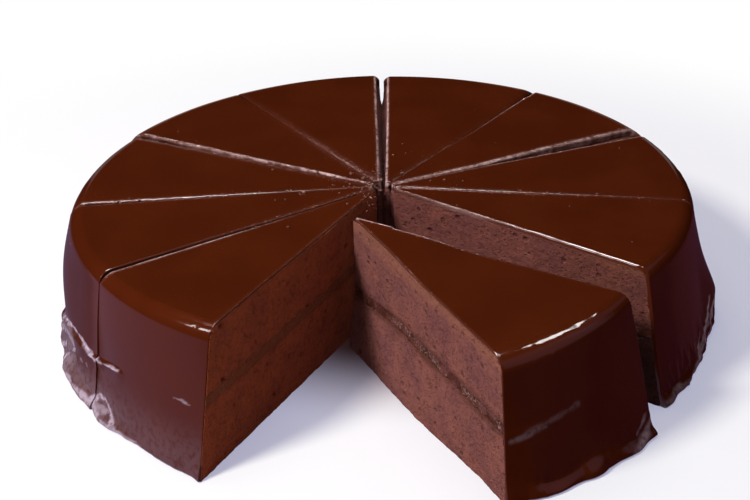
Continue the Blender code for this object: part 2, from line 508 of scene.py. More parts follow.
LEFT_BULGE = Swelling(188.0, 17.0, 0.032, 0.024, 0.0020)
DRAWN_LINE = Swelling(-57.0, 8.5, 0.0262, 0.0026, 0.00020)
STREAKY, LOW_STREAKS = 0.00040, (0.004, 0.018)
UNEVEN = 0.00018
NUBS, NUB_HEIGHT = (0.0075, 0.0004, 0.0008, 0.22, 59), 0.40
HUNG = 0.0008  # strands that hang to the board at the right
HUNG_AT, HUNG_LOW = (-40.0, -32.0, -10.0, -4.0), (0.006, 0.017)

# Beads on the rim: how high along most of it, then where they are higher, as angle, reach and how much more
RIM_LEAST = 0.00002
RIM_BEADS = ((6.0, 20.0, 0.00026), (234.0, 9.0, 0.00002), (170.0, 25.0, 0.00008))
RIM_TILT = 0.62  # how far over the rim they lie, as a share of its turn
DRAWN_BEADS, DRAWN_TILT = 0.00018, 0.26
NICK, NICK_REACH, NICK_DEPTH = 238.1, 0.55, 0.00012  # where the last slice's rim highlight is broken

PAINTED_HAZE = 0.17  # painted reflection: how pale the left side is painted at the board
HAZE_FROM, HAZE_UP = (188.0, 205.0), (0.003, 0.026)
PAINTED_FOLD_HAZE = 0.34  # and how much paler that painted reflection is in the fold
FOLD_PALE, FOLD_PALE_UP = (184.0, 188.0, 200.0, 207.0), (0.013, 0.022)
FOOT_SHARE = 0.35  # and at the foot, as a share of that
FOOT_PALE, FOOT_PALE_UP = (186.0, 190.0, 216.0, 226.0), (0.005, 0.014)
STREAK_WOBBLE, STREAK_SOLID = 0.0006, 0.35

# Painted reflections and highlights as pale streaks on the side: half width in millimetres, strength, and a
# line of (angle, millimetres up)
PAINTED_STREAKS = {
    "ring": (
        (1.0, 1.0, ((185.0, 1.0), (188.0, 8.6), (193.0, 14.0), (197.5, 18.0), (202.5, 20.3), (206.5, 20.8),
                    (210.5, 20.3), (213.0, 19.8), (215.5, 21.0), (218.5, 23.0), (221.0, 23.8))),
        (2.2, 0.85, ((186.0, 0.5), (190.0, 6.0), (195.0, 10.5), (199.0, 13.5), (202.0, 13.8))),
        (3.6, 0.55, ((185.0, 3.0), (189.0, 9.0), (195.0, 13.0), (201.0, 16.0))),
        (1.0, 1.0, ((203.0, 12.0), (201.0, 9.0), (199.0, 5.0), (198.0, 1.5))),
        (1.2, 0.9, ((192.0, 1.0), (195.0, 4.5), (196.5, 8.0))),
        (1.5, 0.85, ((198.0, 0.6), (206.0, 1.4), (209.0, 2.2), (213.0, 1.4), (222.0, 0.9), (228.0, 0.2))),
        (1.2, 0.9, ((213.0, 3.0), (214.5, 6.5), (217.0, 8.3), (218.5, 6.0), (220.5, 2.0))),
        (2.2, 0.6, ((214.5, 2.0), (218.0, 4.0))),
        (1.0, 0.6, ((206.5, 12.2), (207.4, 12.0))),
        (0.9, 0.5, ((209.3, 13.2), (209.7, 12.8))),
        (0.7, 0.55, ((235.0, 25.6), (236.5, 25.9), (238.5, 25.2))),
        (1.5, 0.36, ((-40.0, 1.0), (-32.0, 2.0), (-27.0, 0.5))),
        (1.8, 0.55, ((-26.0, 0.8), (-22.0, 2.5), (-17.5, 5.5), (-13.0, 6.0))),
        (1.3, 0.85, ((-10.0, 13.5), (-13.0, 9.0), (-17.0, 3.0))),
        (1.2, 0.85, ((-8.5, 10.0), (-11.0, 5.0), (-13.5, 1.0))),
        (1.0, 0.75, ((-19.0, 9.5), (-20.5, 5.0), (-22.5, 1.5))),
    ),
    "drawn": (
        (2.2, 0.60, ((-31.0, 7.0), (-34.0, 3.0), (-38.0, 0.5))),
        (1.2, 0.50, ((-33.0, 9.5), (-36.0, 5.0))),
        (1.9, 0.32, ((-62.5, 24.0), (-59.0, 24.6), (-56.0, 25.6))),
        (1.8, 0.20, ((-60.0, 25.0), (-55.0, 27.0), (-49.0, 28.8))),
    ),
}

Drip = namedtuple("Drip", "angle width top bottom thick")
DROP_SHARE = 0.22  # of a run's length, where it ends in a round drop
DRIP_START = 0.45  # how thick a run is near its top, as a share of its foot

# Runs of icing down the side, the last ones round the back
DRIPS = (
    Drip(-5.0, 9.0, 0.050, 0.0010, 0.0060),
    Drip(-13.5, 3.0, 0.026, 0.0020, 0.0014),
    Drip(-18.0, 2.6, 0.020, 0.0000, 0.0015),
    Drip(-24.0, 2.4, 0.014, 0.0000, 0.0012),
    Drip(34.0, 6.0, 0.040, 0.0080, 0.0022),
    Drip(63.0, 8.0, 0.034, 0.0040, 0.0018),
    Drip(101.0, 7.0, 0.042, 0.0070, 0.0024),
    Drip(131.0, 6.0, 0.030, 0.0030, 0.0016),
    Drip(168.0, 7.0, 0.038, 0.0060, 0.0018),
)


def drip_relief(degrees, height, drip):
    """A run: a rounded ridge across, that thickens on its way down and ends in a round drop."""
    across = turned(degrees, drip.angle) / drip.width
    length = drip.top - drip.bottom
    down = (drip.top - height) / length
    lobe = np.clip((height - drip.bottom) / (DROP_SHARE * length), 0.0, 1.0)
    thicker = DRIP_START + (1 - DRIP_START) * smooth(down, 0.3, 0.95)
    along = smooth(down, 0.0, 0.9) * thicker * np.sqrt(lobe)
    return drip.thick * along * np.clip(1 - across**2, 0, 1) ** 1.5


def fold_relief(degrees, height, around):
    """The folded skin: a bead along its upper edge, a thin step under it, and torn streaks further down."""
    edge = np.interp(degrees, *zip(*FOLD_LINE)) + FOLD_WAVER * noise(around[..., None], *GRAIN["fold line"])
    below = edge - height
    bead = FOLD_BEAD * bump(below, 0.0007, 0.0010) * (1 + 0.4 * noise(around[..., None], *GRAIN["fold bead"]))
    lip = FOLD_THICK * smooth(below, -0.0002, 0.0010) * (1 - 0.7 * smooth(below, 0.0010, 0.0060))
    slant = plane(around * 0.6 - height * 0.5, height * 0.9 + around * 0.35)
    tears = layered(slant, *GRAIN["fold tears"]) * smooth(below, 0.0015, 0.0060)
    torn = FOLD_TEARS * np.interp(degrees, *zip(*FOLD_TORN))
    return window(degrees, *FOLD_ENDS) * (bead + lip + torn * tears)


def foot_relief(degrees, height, around):
    """The foot: it swells in waves and flaps, and its upper edge is as uneven as its outline."""
    waves = sum(share * np.sin(np.radians(degrees) * count + count) for count, share in RIPPLES)
    flaps = layered(plane(around, 0.0), *GRAIN["foot flaps"])
    change = FOOT_CHANGE * (window(degrees, *FULL_FOOT) - window(degrees, *SLIGHT_FOOT))
    swell = np.maximum(FOOT_SWELL + change + FOOT_RIPPLE * (waves + FLAPS * flaps), FOOT_LEAST)
    top = FOOT_TOP + FOOT_WAVER * noise(plane(around, 0.0), *GRAIN["foot top"])
    return swell * (1 - smooth(height, 0.0010, top)) ** 1.3


def swollen(degrees, height, swelling):
    """A soft hill on the side, round an angle and a height."""
    across = bump(turned(degrees, swelling.angle), 0.0, swelling.wide)
    return swelling.out * across * bump(height, swelling.height, swelling.tall)


def side_relief(piece, degrees, height, around, settings):
    """All that stands out from the even coat on the side: foot, runs, fold, streaks and small nubs."""
    relief = settings.foot * foot_relief(degrees, height, around)
    for drip in DRIPS:
        relief = relief + drip_relief(degrees, height, drip)
    relief = relief + fold_relief(degrees, height, around)
    relief = relief + swollen(degrees, height, LEFT_BULGE)
    low = 1 - smooth(height, *LOW_STREAKS)
    relief = relief + STREAKY * low * layered(plane(around, height * 0.16), *GRAIN["low streaks"])
    relief = relief + UNEVEN * noise(plane(around * 0.5, height), *GRAIN["uneven side"])
    relief = relief + NUB_HEIGHT * pits(plane(around, height), *NUBS) * bump(height, HEIGHT - 0.0045, 0.0050)
    hung = window(degrees, *HUNG_AT) * (1 - smooth(height, *HUNG_LOW))
    relief = relief + HUNG * hung * layered(plane(around + 0.25 * height, height * 0.45), *GRAIN["strands"])
    return relief + swollen(degrees, height, DRAWN_LINE) if piece.name == "slice_drawn" else relief


def rim_relief(piece, degrees, around, tilt):
    """Beads where the icing turned over the rim: weak, but stronger at the cuts and on the right."""
    drawn, nick = piece.name == "slice_drawn", 0.0
    size, high = (DRAWN_BEADS, DRAWN_TILT) if drawn else (RIM_LEAST, RIM_TILT)
    for angle, reach, more in () if drawn else RIM_BEADS:
        size = size + more * bump(turned(degrees, angle), 0.0, reach)
    if piece.name == "slice_9":
        nick = NICK_DEPTH * bump(turned(degrees, NICK), 0.0, NICK_REACH)
    beads = layered(plane(around, tilt * SHOULDER * 0.6), *GRAIN["rim beads"], 2)
    return (size * beads - nick) * bump(tilt, high, 0.60 * high)


def painted_reflection_mask(piece, degrees, height, around):
    """Painted reflections on the side: 1 along each streak's line, falling softly to 0 at its width."""
    drawn = piece.name == "slice_drawn"
    ring = float(np.mean(piece.centres))
    wobble = STREAK_WOBBLE * noise(plane(around, height), *GRAIN["streak edges"])
    total = np.zeros(degrees.shape)
    for width, strength, line in PAINTED_STREAKS["drawn" if drawn else "ring"]:
        points = [(math.radians(angle) * ring, up * MM) for angle, up in line]
        nearest = np.full(degrees.shape, 1.0)
        for (x0, y0), (x1, y1) in zip(points, points[1:]):
            step = np.array([x1 - x0, y1 - y0])
            along = np.clip(((around - x0) * step[0] + (height - y0) * step[1]) / (step @ step), 0.0, 1.0)
            apart = np.hypot(around - x0 - along * step[0], height - y0 - along * step[1])
            nearest = np.minimum(nearest, apart)
        solid = 0.0 if drawn else STREAK_SOLID * width
        total = np.maximum(total, strength * (1 - smooth(nearest + wobble, solid * MM, width * MM)))
    folded = window(degrees, *FOLD_PALE) * (1 - smooth(height, *FOLD_PALE_UP))
    foot = window(degrees, *FOOT_PALE) * (1 - smooth(height, *FOOT_PALE_UP))
    painted_haze = PAINTED_HAZE * smooth(degrees, *HAZE_FROM) * (1 - smooth(height, *HAZE_UP))
    return np.maximum(total, painted_haze + PAINTED_FOLD_HAZE * np.maximum(folded, FOOT_SHARE * foot))


def outline_columns(width):
    """The places round the icing's section, up the start face, over, down the end face and back underneath.

    Each place is a share of the way across, how many edge radii in from either face and down from the top,
    and its share of the icing's height.
    """
    quarter = np.linspace(0.0, math.pi / 2, EDGE_STEPS + 1)
    top = np.linspace(0.0, 1.0, max(8, round(width / ACROSS_STEP)) + 1)[1:-1]
    wall = np.linspace(0.0, 1.0, WALL_STEPS + 1)[:-1]
    none, under = np.zeros(EDGE_STEPS + 1), np.linspace(1.0, 0.0, UNDER_STEPS + 1)[1:-1]
    across = np.concatenate([0 * wall, none, top, 1 + none, 1 + 0 * wall, under])
    in_start = np.concatenate([0 * wall, 1 - np.cos(quarter), 1 - top, none, 0 * wall, 0 * under])
    in_end = np.concatenate([0 * wall, none, top, (1 - np.cos(quarter))[::-1], 0 * wall, 0 * under])
    down_start = np.concatenate([wall * 0 + 1, 1 - np.sin(quarter), 0 * top, none, 0 * wall, 0 * under])
    down_end = np.concatenate([0 * wall, none, 0 * top, (1 - np.sin(quarter))[::-1], 0 * wall + 1, 0 * under])
    lift = np.concatenate([wall, 1 + none, 1 + 0 * top, 1 + none, wall[::-1], 0 * under])
    return across, in_start, in_end, down_start, down_end, lift


def path_shares(piece):
    """The places along the icing from tip to board: shares of the flat, of the turn and of the side."""
    span = float(np.mean(piece.centres)) - piece.tip
    tip = (1 - np.cos(np.linspace(0.0, math.pi / 2, EDGE_STEPS + 1)))[:-1] * TIP_ROUND / span
    flat = np.linspace(TIP_ROUND / span, 1.0, round(span / FLAT_STEP))
    turn = np.linspace(0.0, 1.0, TURN_STEPS + 1)[1:]
    side = np.linspace(0.0, 1.0, round(LEVEL / SIDE_STEP) + 1)[1:]
    zero, one = np.zeros, np.ones
    along = np.concatenate([tip, flat, one(len(turn) + len(side))])
    turning = np.concatenate([zero(len(tip) + len(flat)), turn, one(len(side))])
    falling = np.concatenate([zero(len(tip) + len(flat) + len(turn)), side])
    return along[:, None], turning[:, None], falling[:, None]


def laid_reach(piece, at_end, radius, height):
    """How far the icing reaches past a cut face: as the table says on top, nearly closed down the side."""
    edge = CUT_EDGES[piece.name, at_end]
    reach = np.interp(radius, REACH_AT, edge.reach)
    for place, change in edge.steps:
        reach = reach + change * smooth(radius, place - STEP_SOFT, place + STEP_SOFT)
    reach = MM * reach
    gap = cut_width(piece, at_end, radius)
    if gap is None:
        return reach
    filled = SIDE_FILLED - WIDE_LEFT * ((piece.name, at_end) in WIDE_CUT)
    return reach + (filled * gap - reach) * smooth(HEIGHT - height, *SHUT)


def edge_line(piece, at_end, radius, height, settings):
    """Along one cut: how far the icing reaches past the face, its edge's width and depth, rough and smear."""
    edge = CUT_EDGES[piece.name, at_end]
    seed = int(abs(piece.end if at_end else piece.start) * 10)
    place = plane(radius, height)
    on_top = 1 - smooth(HEIGHT - height, *SHUT)
    ragged = MM * edge.rough * (SIDE_ROUGH + (1 - SIDE_ROUGH) * on_top)
    reach = laid_reach(piece, at_end, radius, height)
    reach = reach + REACH_ROUGH * ragged * layered(place, REACH_GRAIN[0], REACH_GRAIN[1] + seed)
    near, gap = next_slice(piece, at_end), cut_width(piece, at_end, radius)
    if near:
        most = 1 + (MOST_FILLED - 1) * on_top
        reach = np.minimum(reach, most * gap - laid_reach(near, not at_end, radius, height))
    waver = settings.edge * (1 + EDGE_UNEVEN * layered(place, EDGE_GRAIN[0], EDGE_GRAIN[1] + seed))
    side_edge = SIDE_EDGE if near else OPEN_SIDE_EDGE
    wide, deep = (
        waver * (MM * np.interp(radius, REACH_AT, values) * on_top + side_edge * (1 - on_top))
        for values in (edge.wide, edge.deep)
    )
    return reach, wide, deep, ragged, np.interp(radius, REACH_AT, edge.smear) * on_top


def wall_reach(piece, at_end, reach, lift):
    """The reach on its way down the icing's wall: back to the face, or into the sponge on an open face."""
    if (piece.name, at_end) not in OPEN_FACES:
        return reach * lift
    return reach * lift + np.minimum(reach, 0.0) * (1 - lift) - BURIED * (1 - smooth(lift, 0.0, 0.6))


def icing_shell(piece, settings):
    """The icing of one slice: a thin closed outline carried from the tip over the shoulder to the board.

    A place's base lies on the sponge's skin: out along the flat, round the inner shoulder, down the lean
    side. From there the icing's thickness is laid along the skin's normal, which turns level at the board.
    Thickness is the coat plus the relief, less a quarter of an ellipse at each cut edge and at the tip.
    """
    width = math.radians(piece.end - piece.start) * float(np.mean(piece.centres))
    across, in_start, in_end, down_start, down_end, lift = (c[None, :] for c in outline_columns(width))
    along, turning, falling = path_shares(piece)
    lean, centre = between(piece.leans, across), between(piece.centres, across)
    turn = math.pi / 2 - turning * (math.pi / 2 - lean)
    drop = falling * (LEVEL + INNER_SHOULDER * np.sin(lean))
    radius = piece.tip + (centre - piece.tip) * along + INNER_SHOULDER * np.cos(turn) + drop * np.tan(lean)
    height = LEVEL + INNER_SHOULDER * np.sin(turn) - drop

    line, level = radius.mean(axis=1), height.mean(axis=1) + ICING * (1 - turning[:, 0])
    wide = math.radians(piece.end - piece.start) * radius
    first, last = (
        CutLine(*(v[:, None] for v in edge_line(piece, at_end, line, level, settings)))
        for at_end in (False, True)
    )
    room = ROOM * np.maximum(wide + first.reach + last.reach, NARROWEST)
    before, behind = wall_reach(piece, False, first.reach, lift), wall_reach(piece, True, last.reach, lift)
    past = across * (wide + behind) - (1 - across) * before
    past = past + np.minimum(first.wide, room) * in_start - np.minimum(last.wide, room) * in_end
    angle = math.radians(piece.start) + past / radius
    degrees = np.degrees(angle)
    cuts = ((False, first, past + first.reach), (True, last, wide + last.reach - past))

    around = np.radians(degrees) * float(np.mean(piece.centres))
    place = polar(angle, radius)
    slant = plane(place[..., 0] + place[..., 1], (place[..., 0] - place[..., 1]) * 0.35)
    torn = layered(slant, *GRAIN["torn edge"])
    on_side = smooth(turning, *SIDE_FROM)
    relief = on_side * side_relief(piece, degrees, height, around, settings)
    relief = relief + TOP_WAVES * noise(place, *GRAIN["top waves"]) * (1 - on_side)
    relief = relief + rim_relief(piece, degrees, around, turning)
    for _, cut_line, inward in cuts:
        near = 1 - smooth(inward, TORN_IN[0] * cut_line.wide, TORN_IN[1] * cut_line.wide + TORN_IN[2])
        relief = relief + cut_line.ragged * torn * near * lift
    tip_down = rounded(TIP_ROUND, radius - piece.tip)
    board_in = BOARD_IN * rounded(BOARD_ROUND, height)
    thick = ICING + relief - first.deep * down_start - last.deep * down_end - tip_down - board_in
    sunk = SUNK[0] + SUNK[1] * (1 + noise(plane(radius, around), *GRAIN["underside"]))
    out = lift * np.maximum(thick, THINNEST) - (1 - lift) * sunk

    facing = turn * smooth(height, 0.0, BOARD_TURN)
    flat = polar(angle, radius + out * np.cos(facing)) + np.array(piece.apex)
    up = np.maximum(height + out * np.sin(facing) + tip_rise(piece, radius), 0.0)
    points = np.concatenate([flat, up[..., None]], axis=-1)
    # The side's painted reflections, carried in the pale mask
    pale = painted_reflection_mask(piece, degrees, height, around) * (turning >= 1.0) * lift
    return points, icing_masks(piece, cuts, torn, down_start + down_end, level, pale)


def rounded(radius, inward):
    """How far a rounded edge falls away, a quarter circle, at a distance in from the edge."""
    left = radius - np.clip(inward, 0.0, radius)
    return radius - np.sqrt(radius**2 - left**2)


def icing_masks(piece, cuts, torn, down, level, pale):
    """Where the knife cut the icing, where crumbs are smeared into it, and where it is painted pale:
    highlights by the cuts, added to the side's painted reflections.
    """
    shut = smooth(HEIGHT - level, *SHUT)[:, None]
    cut = np.clip(down * CUT_STEEP - (CUT_STEEP - 1), 0, 1) * (1 - SHUT_FADE * shut)
    smear = 0.0
    for at_end, cut_line, inward in cuts:
        edge = CUT_EDGES[piece.name, at_end]
        spread = MM * edge.spread
        smeared, painted_highlight = ([part * spread for part in pair] for pair in (SMEARED, PAINTED_HIGHLIGHT_ENDS))
        broken = min(edge.rough, ROUGHEST) / ROUGHEST
        whole = np.clip(1 - BROKEN * broken + FLAKY * broken * torn, FAINTEST, 1.0)
        smear = smear + np.minimum(cut_line.smear, 1.0) * (1 - smooth(inward, *smeared))
        near = np.clip(cut_line.smear - 1.0, 0.0, 1.0) * (1 - smooth(inward, *painted_highlight))
        pale = np.maximum(pale, near * whole)
    return {"cut": cut, "smear": np.clip(smear, 0.0, 1.0), "pale": pale}


def bottom_closed(points, masks):
    """Faces of the icing: quads along the path, a fan at the tip and one face across the foot."""
    count, around = points.shape[:2]
    here, after, quads = tube_quads(count, around)
    fan = np.stack([np.full(around, count * around), after, here], axis=-1)
    flat = np.concatenate([points.reshape(-1, 3), points[0].mean(0)[None]])
    values = {name: np.concatenate([v.reshape(-1), [1.0]]) for name, v in masks.items()}
    corners = np.concatenate([quads, fan.reshape(-1), (count - 1) * around + here])
    sizes = np.concatenate([np.full((count - 1) * around, 4), np.full(around, 3), [around]])
    return flat, *facing_out(flat, corners, sizes), values


# ---------------------------------------------------------------- sponge and jam

COARSE_FACE = 0.0016
FINE_FACE = 0.00036
ARC_STEP = 0.0020
TIP_STEPS = 3
CAP_SHRINKS = (0.97, 0.8, 0.45)
# How thick the icing is where it ends at an open cut face, where the knife dragged it thinner
FACE_COATS = {
    ("slice_9", True): 0.0002,
    ("slice_drawn", False): 0.0004,
    ("slice_drawn", True): 0.0020,
    ("slice_1", False): 0.0013,
}
COAT_FADE = 0.16  # share of the way across a slice over which that ends
CLOSES = (0.0, 0.0050)  # depth below the icing over which the sponge swells to fill a cut
CLOSED_BY = 0.0004  # how far it then goes past the middle of the cut
WIDE_FROM = (0.099, 0.110)  # how far out the wide cut opens
SPONGE_LEFT = WIDE_LEFT + 0.01  # share of its width that the sponge of each side leaves open there
FLARE = 0.0032  # how far the drawn slice's lit face spreads at the board
FLARE_UP, FLARE_OUT = (0.0, 0.030), (0.050, 0.105)  # height and distance out over which that ends

FACES_APART, SLICES_APART = 0.2, 0.01  # in the crumb's pattern, so that no two faces have the same crumb
LAYERS = {"base": (0.0, BASE_TOP + FIT_GAP), "jam": (JAM_LOW, JAM_HIGH), "top": (JAM_HIGH, CEILING)}
FACE_IN = 0.00005  # how far in the plainest face lies
TIP_FADE = 0.004  # the stretch from a slice's point that is plain
JAM_WAVE, UNDER_FINE, OVER_FINE = 0.0006, 0.0005, 0.0006
JAM_IN, JAM_LUMPS = 0.00050, 0.00045
SOFTER_JAM = 0.7  # how much less the jam shows on the face in the shade
CRUMB_IN, PORES_FADE = 0.00016, 0.006
CRUMB_GRAIN = (("fine crumb", 0.00020), ("torn crumb", 0.00026))
# Holes in the crumb: depth, how drawn out, then the pits' cell, smallest, largest, share of cells and seed
CRUMB_PITS = (
    (0.60, 1.00, 0.0014, 0.00020, 0.00042, 0.45, 79),
    (0.60, 0.85, 0.0042, 0.00035, 0.00070, 0.26, 83),
    (1.00, 0.85, 0.0120, 0.00070, 0.00130, 0.45, 89),
)
DEEPEST_HOLE = 0.0007
EDGE_WAVER = 0.0008
SIDE_MORE = 0.0010  # how much deeper the icing browns the crumb from the top than from the side
ICED = (0.0022, 0.0062)  # depth under the skin over which the crumb is browned by the icing
ICED_SHARES = {"slice_9": 0.3}
FAR_ICED = (0.070, 0.108)  # how far out that begins on the first slice
SOAKED = (-0.0004, 0.0030)  # from the jam's edge into the crumb
DEEP, PAINTED_CUT_SHADE = (0.0003, 0.0012), 0.42  # swell over which a filled cut is painted darker as shade between the slices, and how much
LEDGE, PAINTED_LEDGE_SHADE = (0.975, 0.992), 0.28  # share of the height where the crumb's top edge is painted darker as shade under the icing, and how much
CORNER_OUT, CORNER_UP = (0.100, 0.116), (0.020, 0.034)  # the first slice's lower corner, painted dark as the drawn slice's shadow
# Painted light on the cut face turned away from the light, and the share of the painted shade tint on the
# first slice's cut face
PAINTED_DIM_LIGHT, FAR_SHADE = 0.38, 0.25
# The first slice's cut face, painted darker as the drawn slice's shadow: darker all over, more so further
# out, and most at its lower corner
PAINTED_FAR_SHADOW, PAINTED_FAR_OUT_SHADOW, PAINTED_CORNER_SHADOW = 0.08, 0.20, 0.45
FAR_OUT = (0.050, 0.100)


def face_step(piece, at_end):
    """The size of the mesh along a cut face: fine where the face is open to view."""
    return FINE_FACE if (piece.name, at_end) in OPEN_FACES else COARSE_FACE


def skin_reach(height, centre, lean, inset):
    """How far out a layer's side is at a height: up the lean side, then round the shoulder's arc."""
    inner = SHOULDER - inset
    tangent = LEVEL + inner * np.sin(lean)
    arc = np.sqrt(np.clip(inner**2 - (height - LEVEL) ** 2, 0.0, None))
    return centre + np.where(height > tangent, arc, inner * np.cos(lean) + (tangent - height) * np.tan(lean))


def coat_inset(piece, across):
    """How far the sponge lies under the outer skin: the icing's thickness, less next to an open cut face."""
    start, end = (ICING - FACE_COATS.get((piece.name, at_end), ICING) for at_end in (False, True))
    return ICING - start * (1 - smooth(across, 0.0, COAT_FADE)) - end * smooth(across, 1 - COAT_FADE, 1.0)


def face_push(piece, side, radius, height):
    """How far the cut sponge stands out past its face: swollen into the cuts, or flared at the foot."""
    push = np.zeros(np.broadcast(radius, height).shape)
    for at_end, sign in ((False, 1), (True, -1)):
        gap = cut_width(piece, at_end, radius)
        if gap is not None:
            filled = 0.5 + CLOSED_BY / np.maximum(gap, CLOSED_BY)
            if (piece.name, at_end) in WIDE_CUT:
                filled = filled - SPONGE_LEFT * smooth(radius, *WIDE_FROM)
            push = push + (side == sign) * filled * gap * smooth(CEILING - height, *CLOSES)
    if piece.name == "slice_drawn":
        foot = (1 - smooth(height, *FLARE_UP)) * (1 - smooth(radius, *FLARE_OUT))
        push = push + (side == 1) * FLARE * foot
    return push


def layer_rings(piece, low, high):
    """Level rings round a layer, from low to high: out along the start face, round the side, and back.

    Gives for each place its radius, angle, height, and which face it lies on.
    """
    length = float(np.mean(piece.centres)) + SHOULDER
    steps = [round(length / face_step(piece, at_end)) for at_end in (False, True)]
    start = np.linspace(0.0, 1.0, steps[0] + 1)
    end = np.linspace(1.0, 0.0, steps[1] + 1)
    arc = np.linspace(0.0, 1.0, round(length * math.radians(piece.end - piece.start) / ARC_STEP) + 1)[1:-1]
    tip = np.linspace(1.0, 0.0, TIP_STEPS + 1)[1:-1]
    out = np.concatenate([start, 1 + 0 * arc, end, 0 * tip])[None, :]
    across = np.concatenate([0 * start, arc, 1 + 0 * end, tip])[None, :]
    side = np.concatenate([1 + 0 * start, 0 * arc, -1 + 0 * end, 0 * tip])[None, :]
    rows = max(3, round((high - low) / min(face_step(piece, False), face_step(piece, True))))
    level = np.linspace(0.0, 1.0, rows + 1)[:, None]
    lean, centre = between(piece.leans, across), between(piece.centres, across)
    inset = coat_inset(piece, across)
    if high == CEILING:
        high = HEIGHT - FIT_GAP - inset
    height = low + (high - low) * level
    reach = skin_reach(height, centre, lean, inset)
    radius = piece.tip + (reach - piece.tip) * out
    angle = np.radians(between((piece.start, piece.end), across)) + 0 * radius
    return radius, angle, height, side + 0 * radius, level + 0 * radius


def sag(piece, radius):
    """How far the jam's line has sunk at a distance from the slice's point: a half cosine."""
    share = np.clip((SINK_REACH - radius) / (SINK_REACH - piece.tip), 0.0, 1.0)
    return piece.sink * (1 - np.cos(math.pi * share)) / 2


def jam_wave(piece, place):
    """The unevenness of the jam's two faces, the same for the sponge that lies on it."""
    size, seed = GRAIN["jam's lower face"]
    under = JAM_WAVE * layered(place, size, seed + len(piece.name))
    over = JAM_WAVE * layered(place, *GRAIN["jam's upper face"])
    under = under + UNDER_FINE * layered(place, *GRAIN["lower face, fine"])
    return under, over + OVER_FINE * layered(place, *GRAIN["upper face, fine"])


def crumb_depth(place, radius, tip, settings):
    """How deep the cut sponge is at a place on its face: torn grain, fine pores and a few larger holes."""
    grain = sum(deep * layered(place, *GRAIN[name]) for name, deep in CRUMB_GRAIN)
    holes = 0.0
    for deep, wide, *shape in CRUMB_PITS:
        holes = np.maximum(holes, deep * pits(place * np.array([wide, 1.0]), *shape))
    fading = smooth(radius, tip, tip + PORES_FADE)
    return CRUMB_IN + (grain + settings.pores * holes) * fading, holes * fading


def layer_solid(piece, kind, settings):
    """One sponge layer or the jam of a slice, with its cut faces worked in: by crumb_depth for sponge, in
    lumps for jam.

    The layer's rings follow the jam's sag and waves in full at the jam and not at all at the board or top.
    """
    low, high = LAYERS[kind]
    radius, angle, height, side, share = layer_rings(piece, low, high)
    x, y = radius * np.cos(angle), radius * np.sin(angle)
    under, over = jam_wave(piece, plane(x, y))
    shift = {"base": share * under, "jam": under + share * (over - under), "top": (1 - share) * over}[kind]
    sunk = {"base": share, "jam": 1.0, "top": 1 - share}[kind] * sag(piece, radius)
    rise = tip_rise(piece, radius) * (share if kind == "top" else 0.0)
    height = height + shift - sunk + rise

    place = plane(radius + FACES_APART * side + int(piece.start) * SLICES_APART, height)
    if kind == "jam":
        depth = JAM_IN + JAM_LUMPS * layered(place, *GRAIN["jam lumps"])
        depth = depth * (1 - SOFTER_JAM * dim_face(piece, side))
        holes = np.zeros_like(depth)
    else:
        depth, holes = crumb_depth(place, radius, piece.tip, settings)
    depth = depth * smooth(radius, piece.tip, piece.tip + TIP_FADE) + FACE_IN
    depth = depth - face_push(piece, side, radius, height)
    x = x - side * np.sin(angle) * depth
    y = y + side * np.cos(angle) * depth
    rings = np.stack([piece.apex[0] + x, piece.apex[1] + y, height], axis=-1)
    return capped(rings, layer_masks(piece, kind, place, radius, side, share, holes))


def dim_face(piece, side):
    """1 on the one cut face that is turned away from the light."""
    return (side == -1) * float(piece.name == "slice_9")


def layer_masks(piece, kind, place, radius, side, share, holes):
    """What the finishes need to know: near the icing, soaked by jam, a hole, a painted shade tint, and how
    lit with painted light and shade.
    """
    height = place[..., 1]
    waver = EDGE_WAVER * layered(place, *GRAIN["mask edges"])
    to_side = skin_reach(height, between(piece.centres, 0.5), between(piece.leans, 0.5), 0.0) - radius
    near_skin = np.minimum(HEIGHT - height, to_side + SIDE_MORE) + waver
    iced = (1 - smooth(near_skin, *ICED)) * ICED_SHARES.get(piece.name, 1.0)
    if piece.name == "slice_1":
        iced = iced * smooth(radius, *FAR_ICED)
    dim, far = dim_face(piece, side), (side == 1) * float(piece.name == "slice_1")
    from_jam = np.abs(height + sag(piece, radius) - (JAM_LOW + JAM_HIGH) / 2 + 0.5 * waver) - waver
    thick = (JAM_HIGH - JAM_LOW) / 2
    soaked = (1 - SOFTER_JAM * dim) * (1 - smooth(from_jam, thick + SOAKED[0], thick + SOAKED[1]))
    deep = smooth(face_push(piece, side, radius, height), *DEEP) * (piece.name != "slice_drawn")
    ledge = smooth(share, *LEDGE) if kind == "top" else 0.0
    low_corner = smooth(radius, *CORNER_OUT) * (1 - smooth(height, *CORNER_UP))
    # Painted shadow of the drawn slice on the first slice's face, painted shade in filled cuts and at the top
    # edge, and painted light on the face in the shade
    painted_shadow = far * (PAINTED_FAR_SHADOW + PAINTED_FAR_OUT_SHADOW * smooth(radius, *FAR_OUT) + PAINTED_CORNER_SHADOW * low_corner)
    lit = (1 - PAINTED_CUT_SHADE * deep) * (1 - PAINTED_LEDGE_SHADE * ledge) * (1 + PAINTED_DIM_LIGHT * dim - painted_shadow)
    # How deep a hole is, for the painted shade in it
    holes = np.clip(holes / DEEPEST_HOLE, 0, 1)
    return {"iced": iced, "soaked": soaked, "hole": holes, "shade": dim + FAR_SHADE * far, "lit": lit}


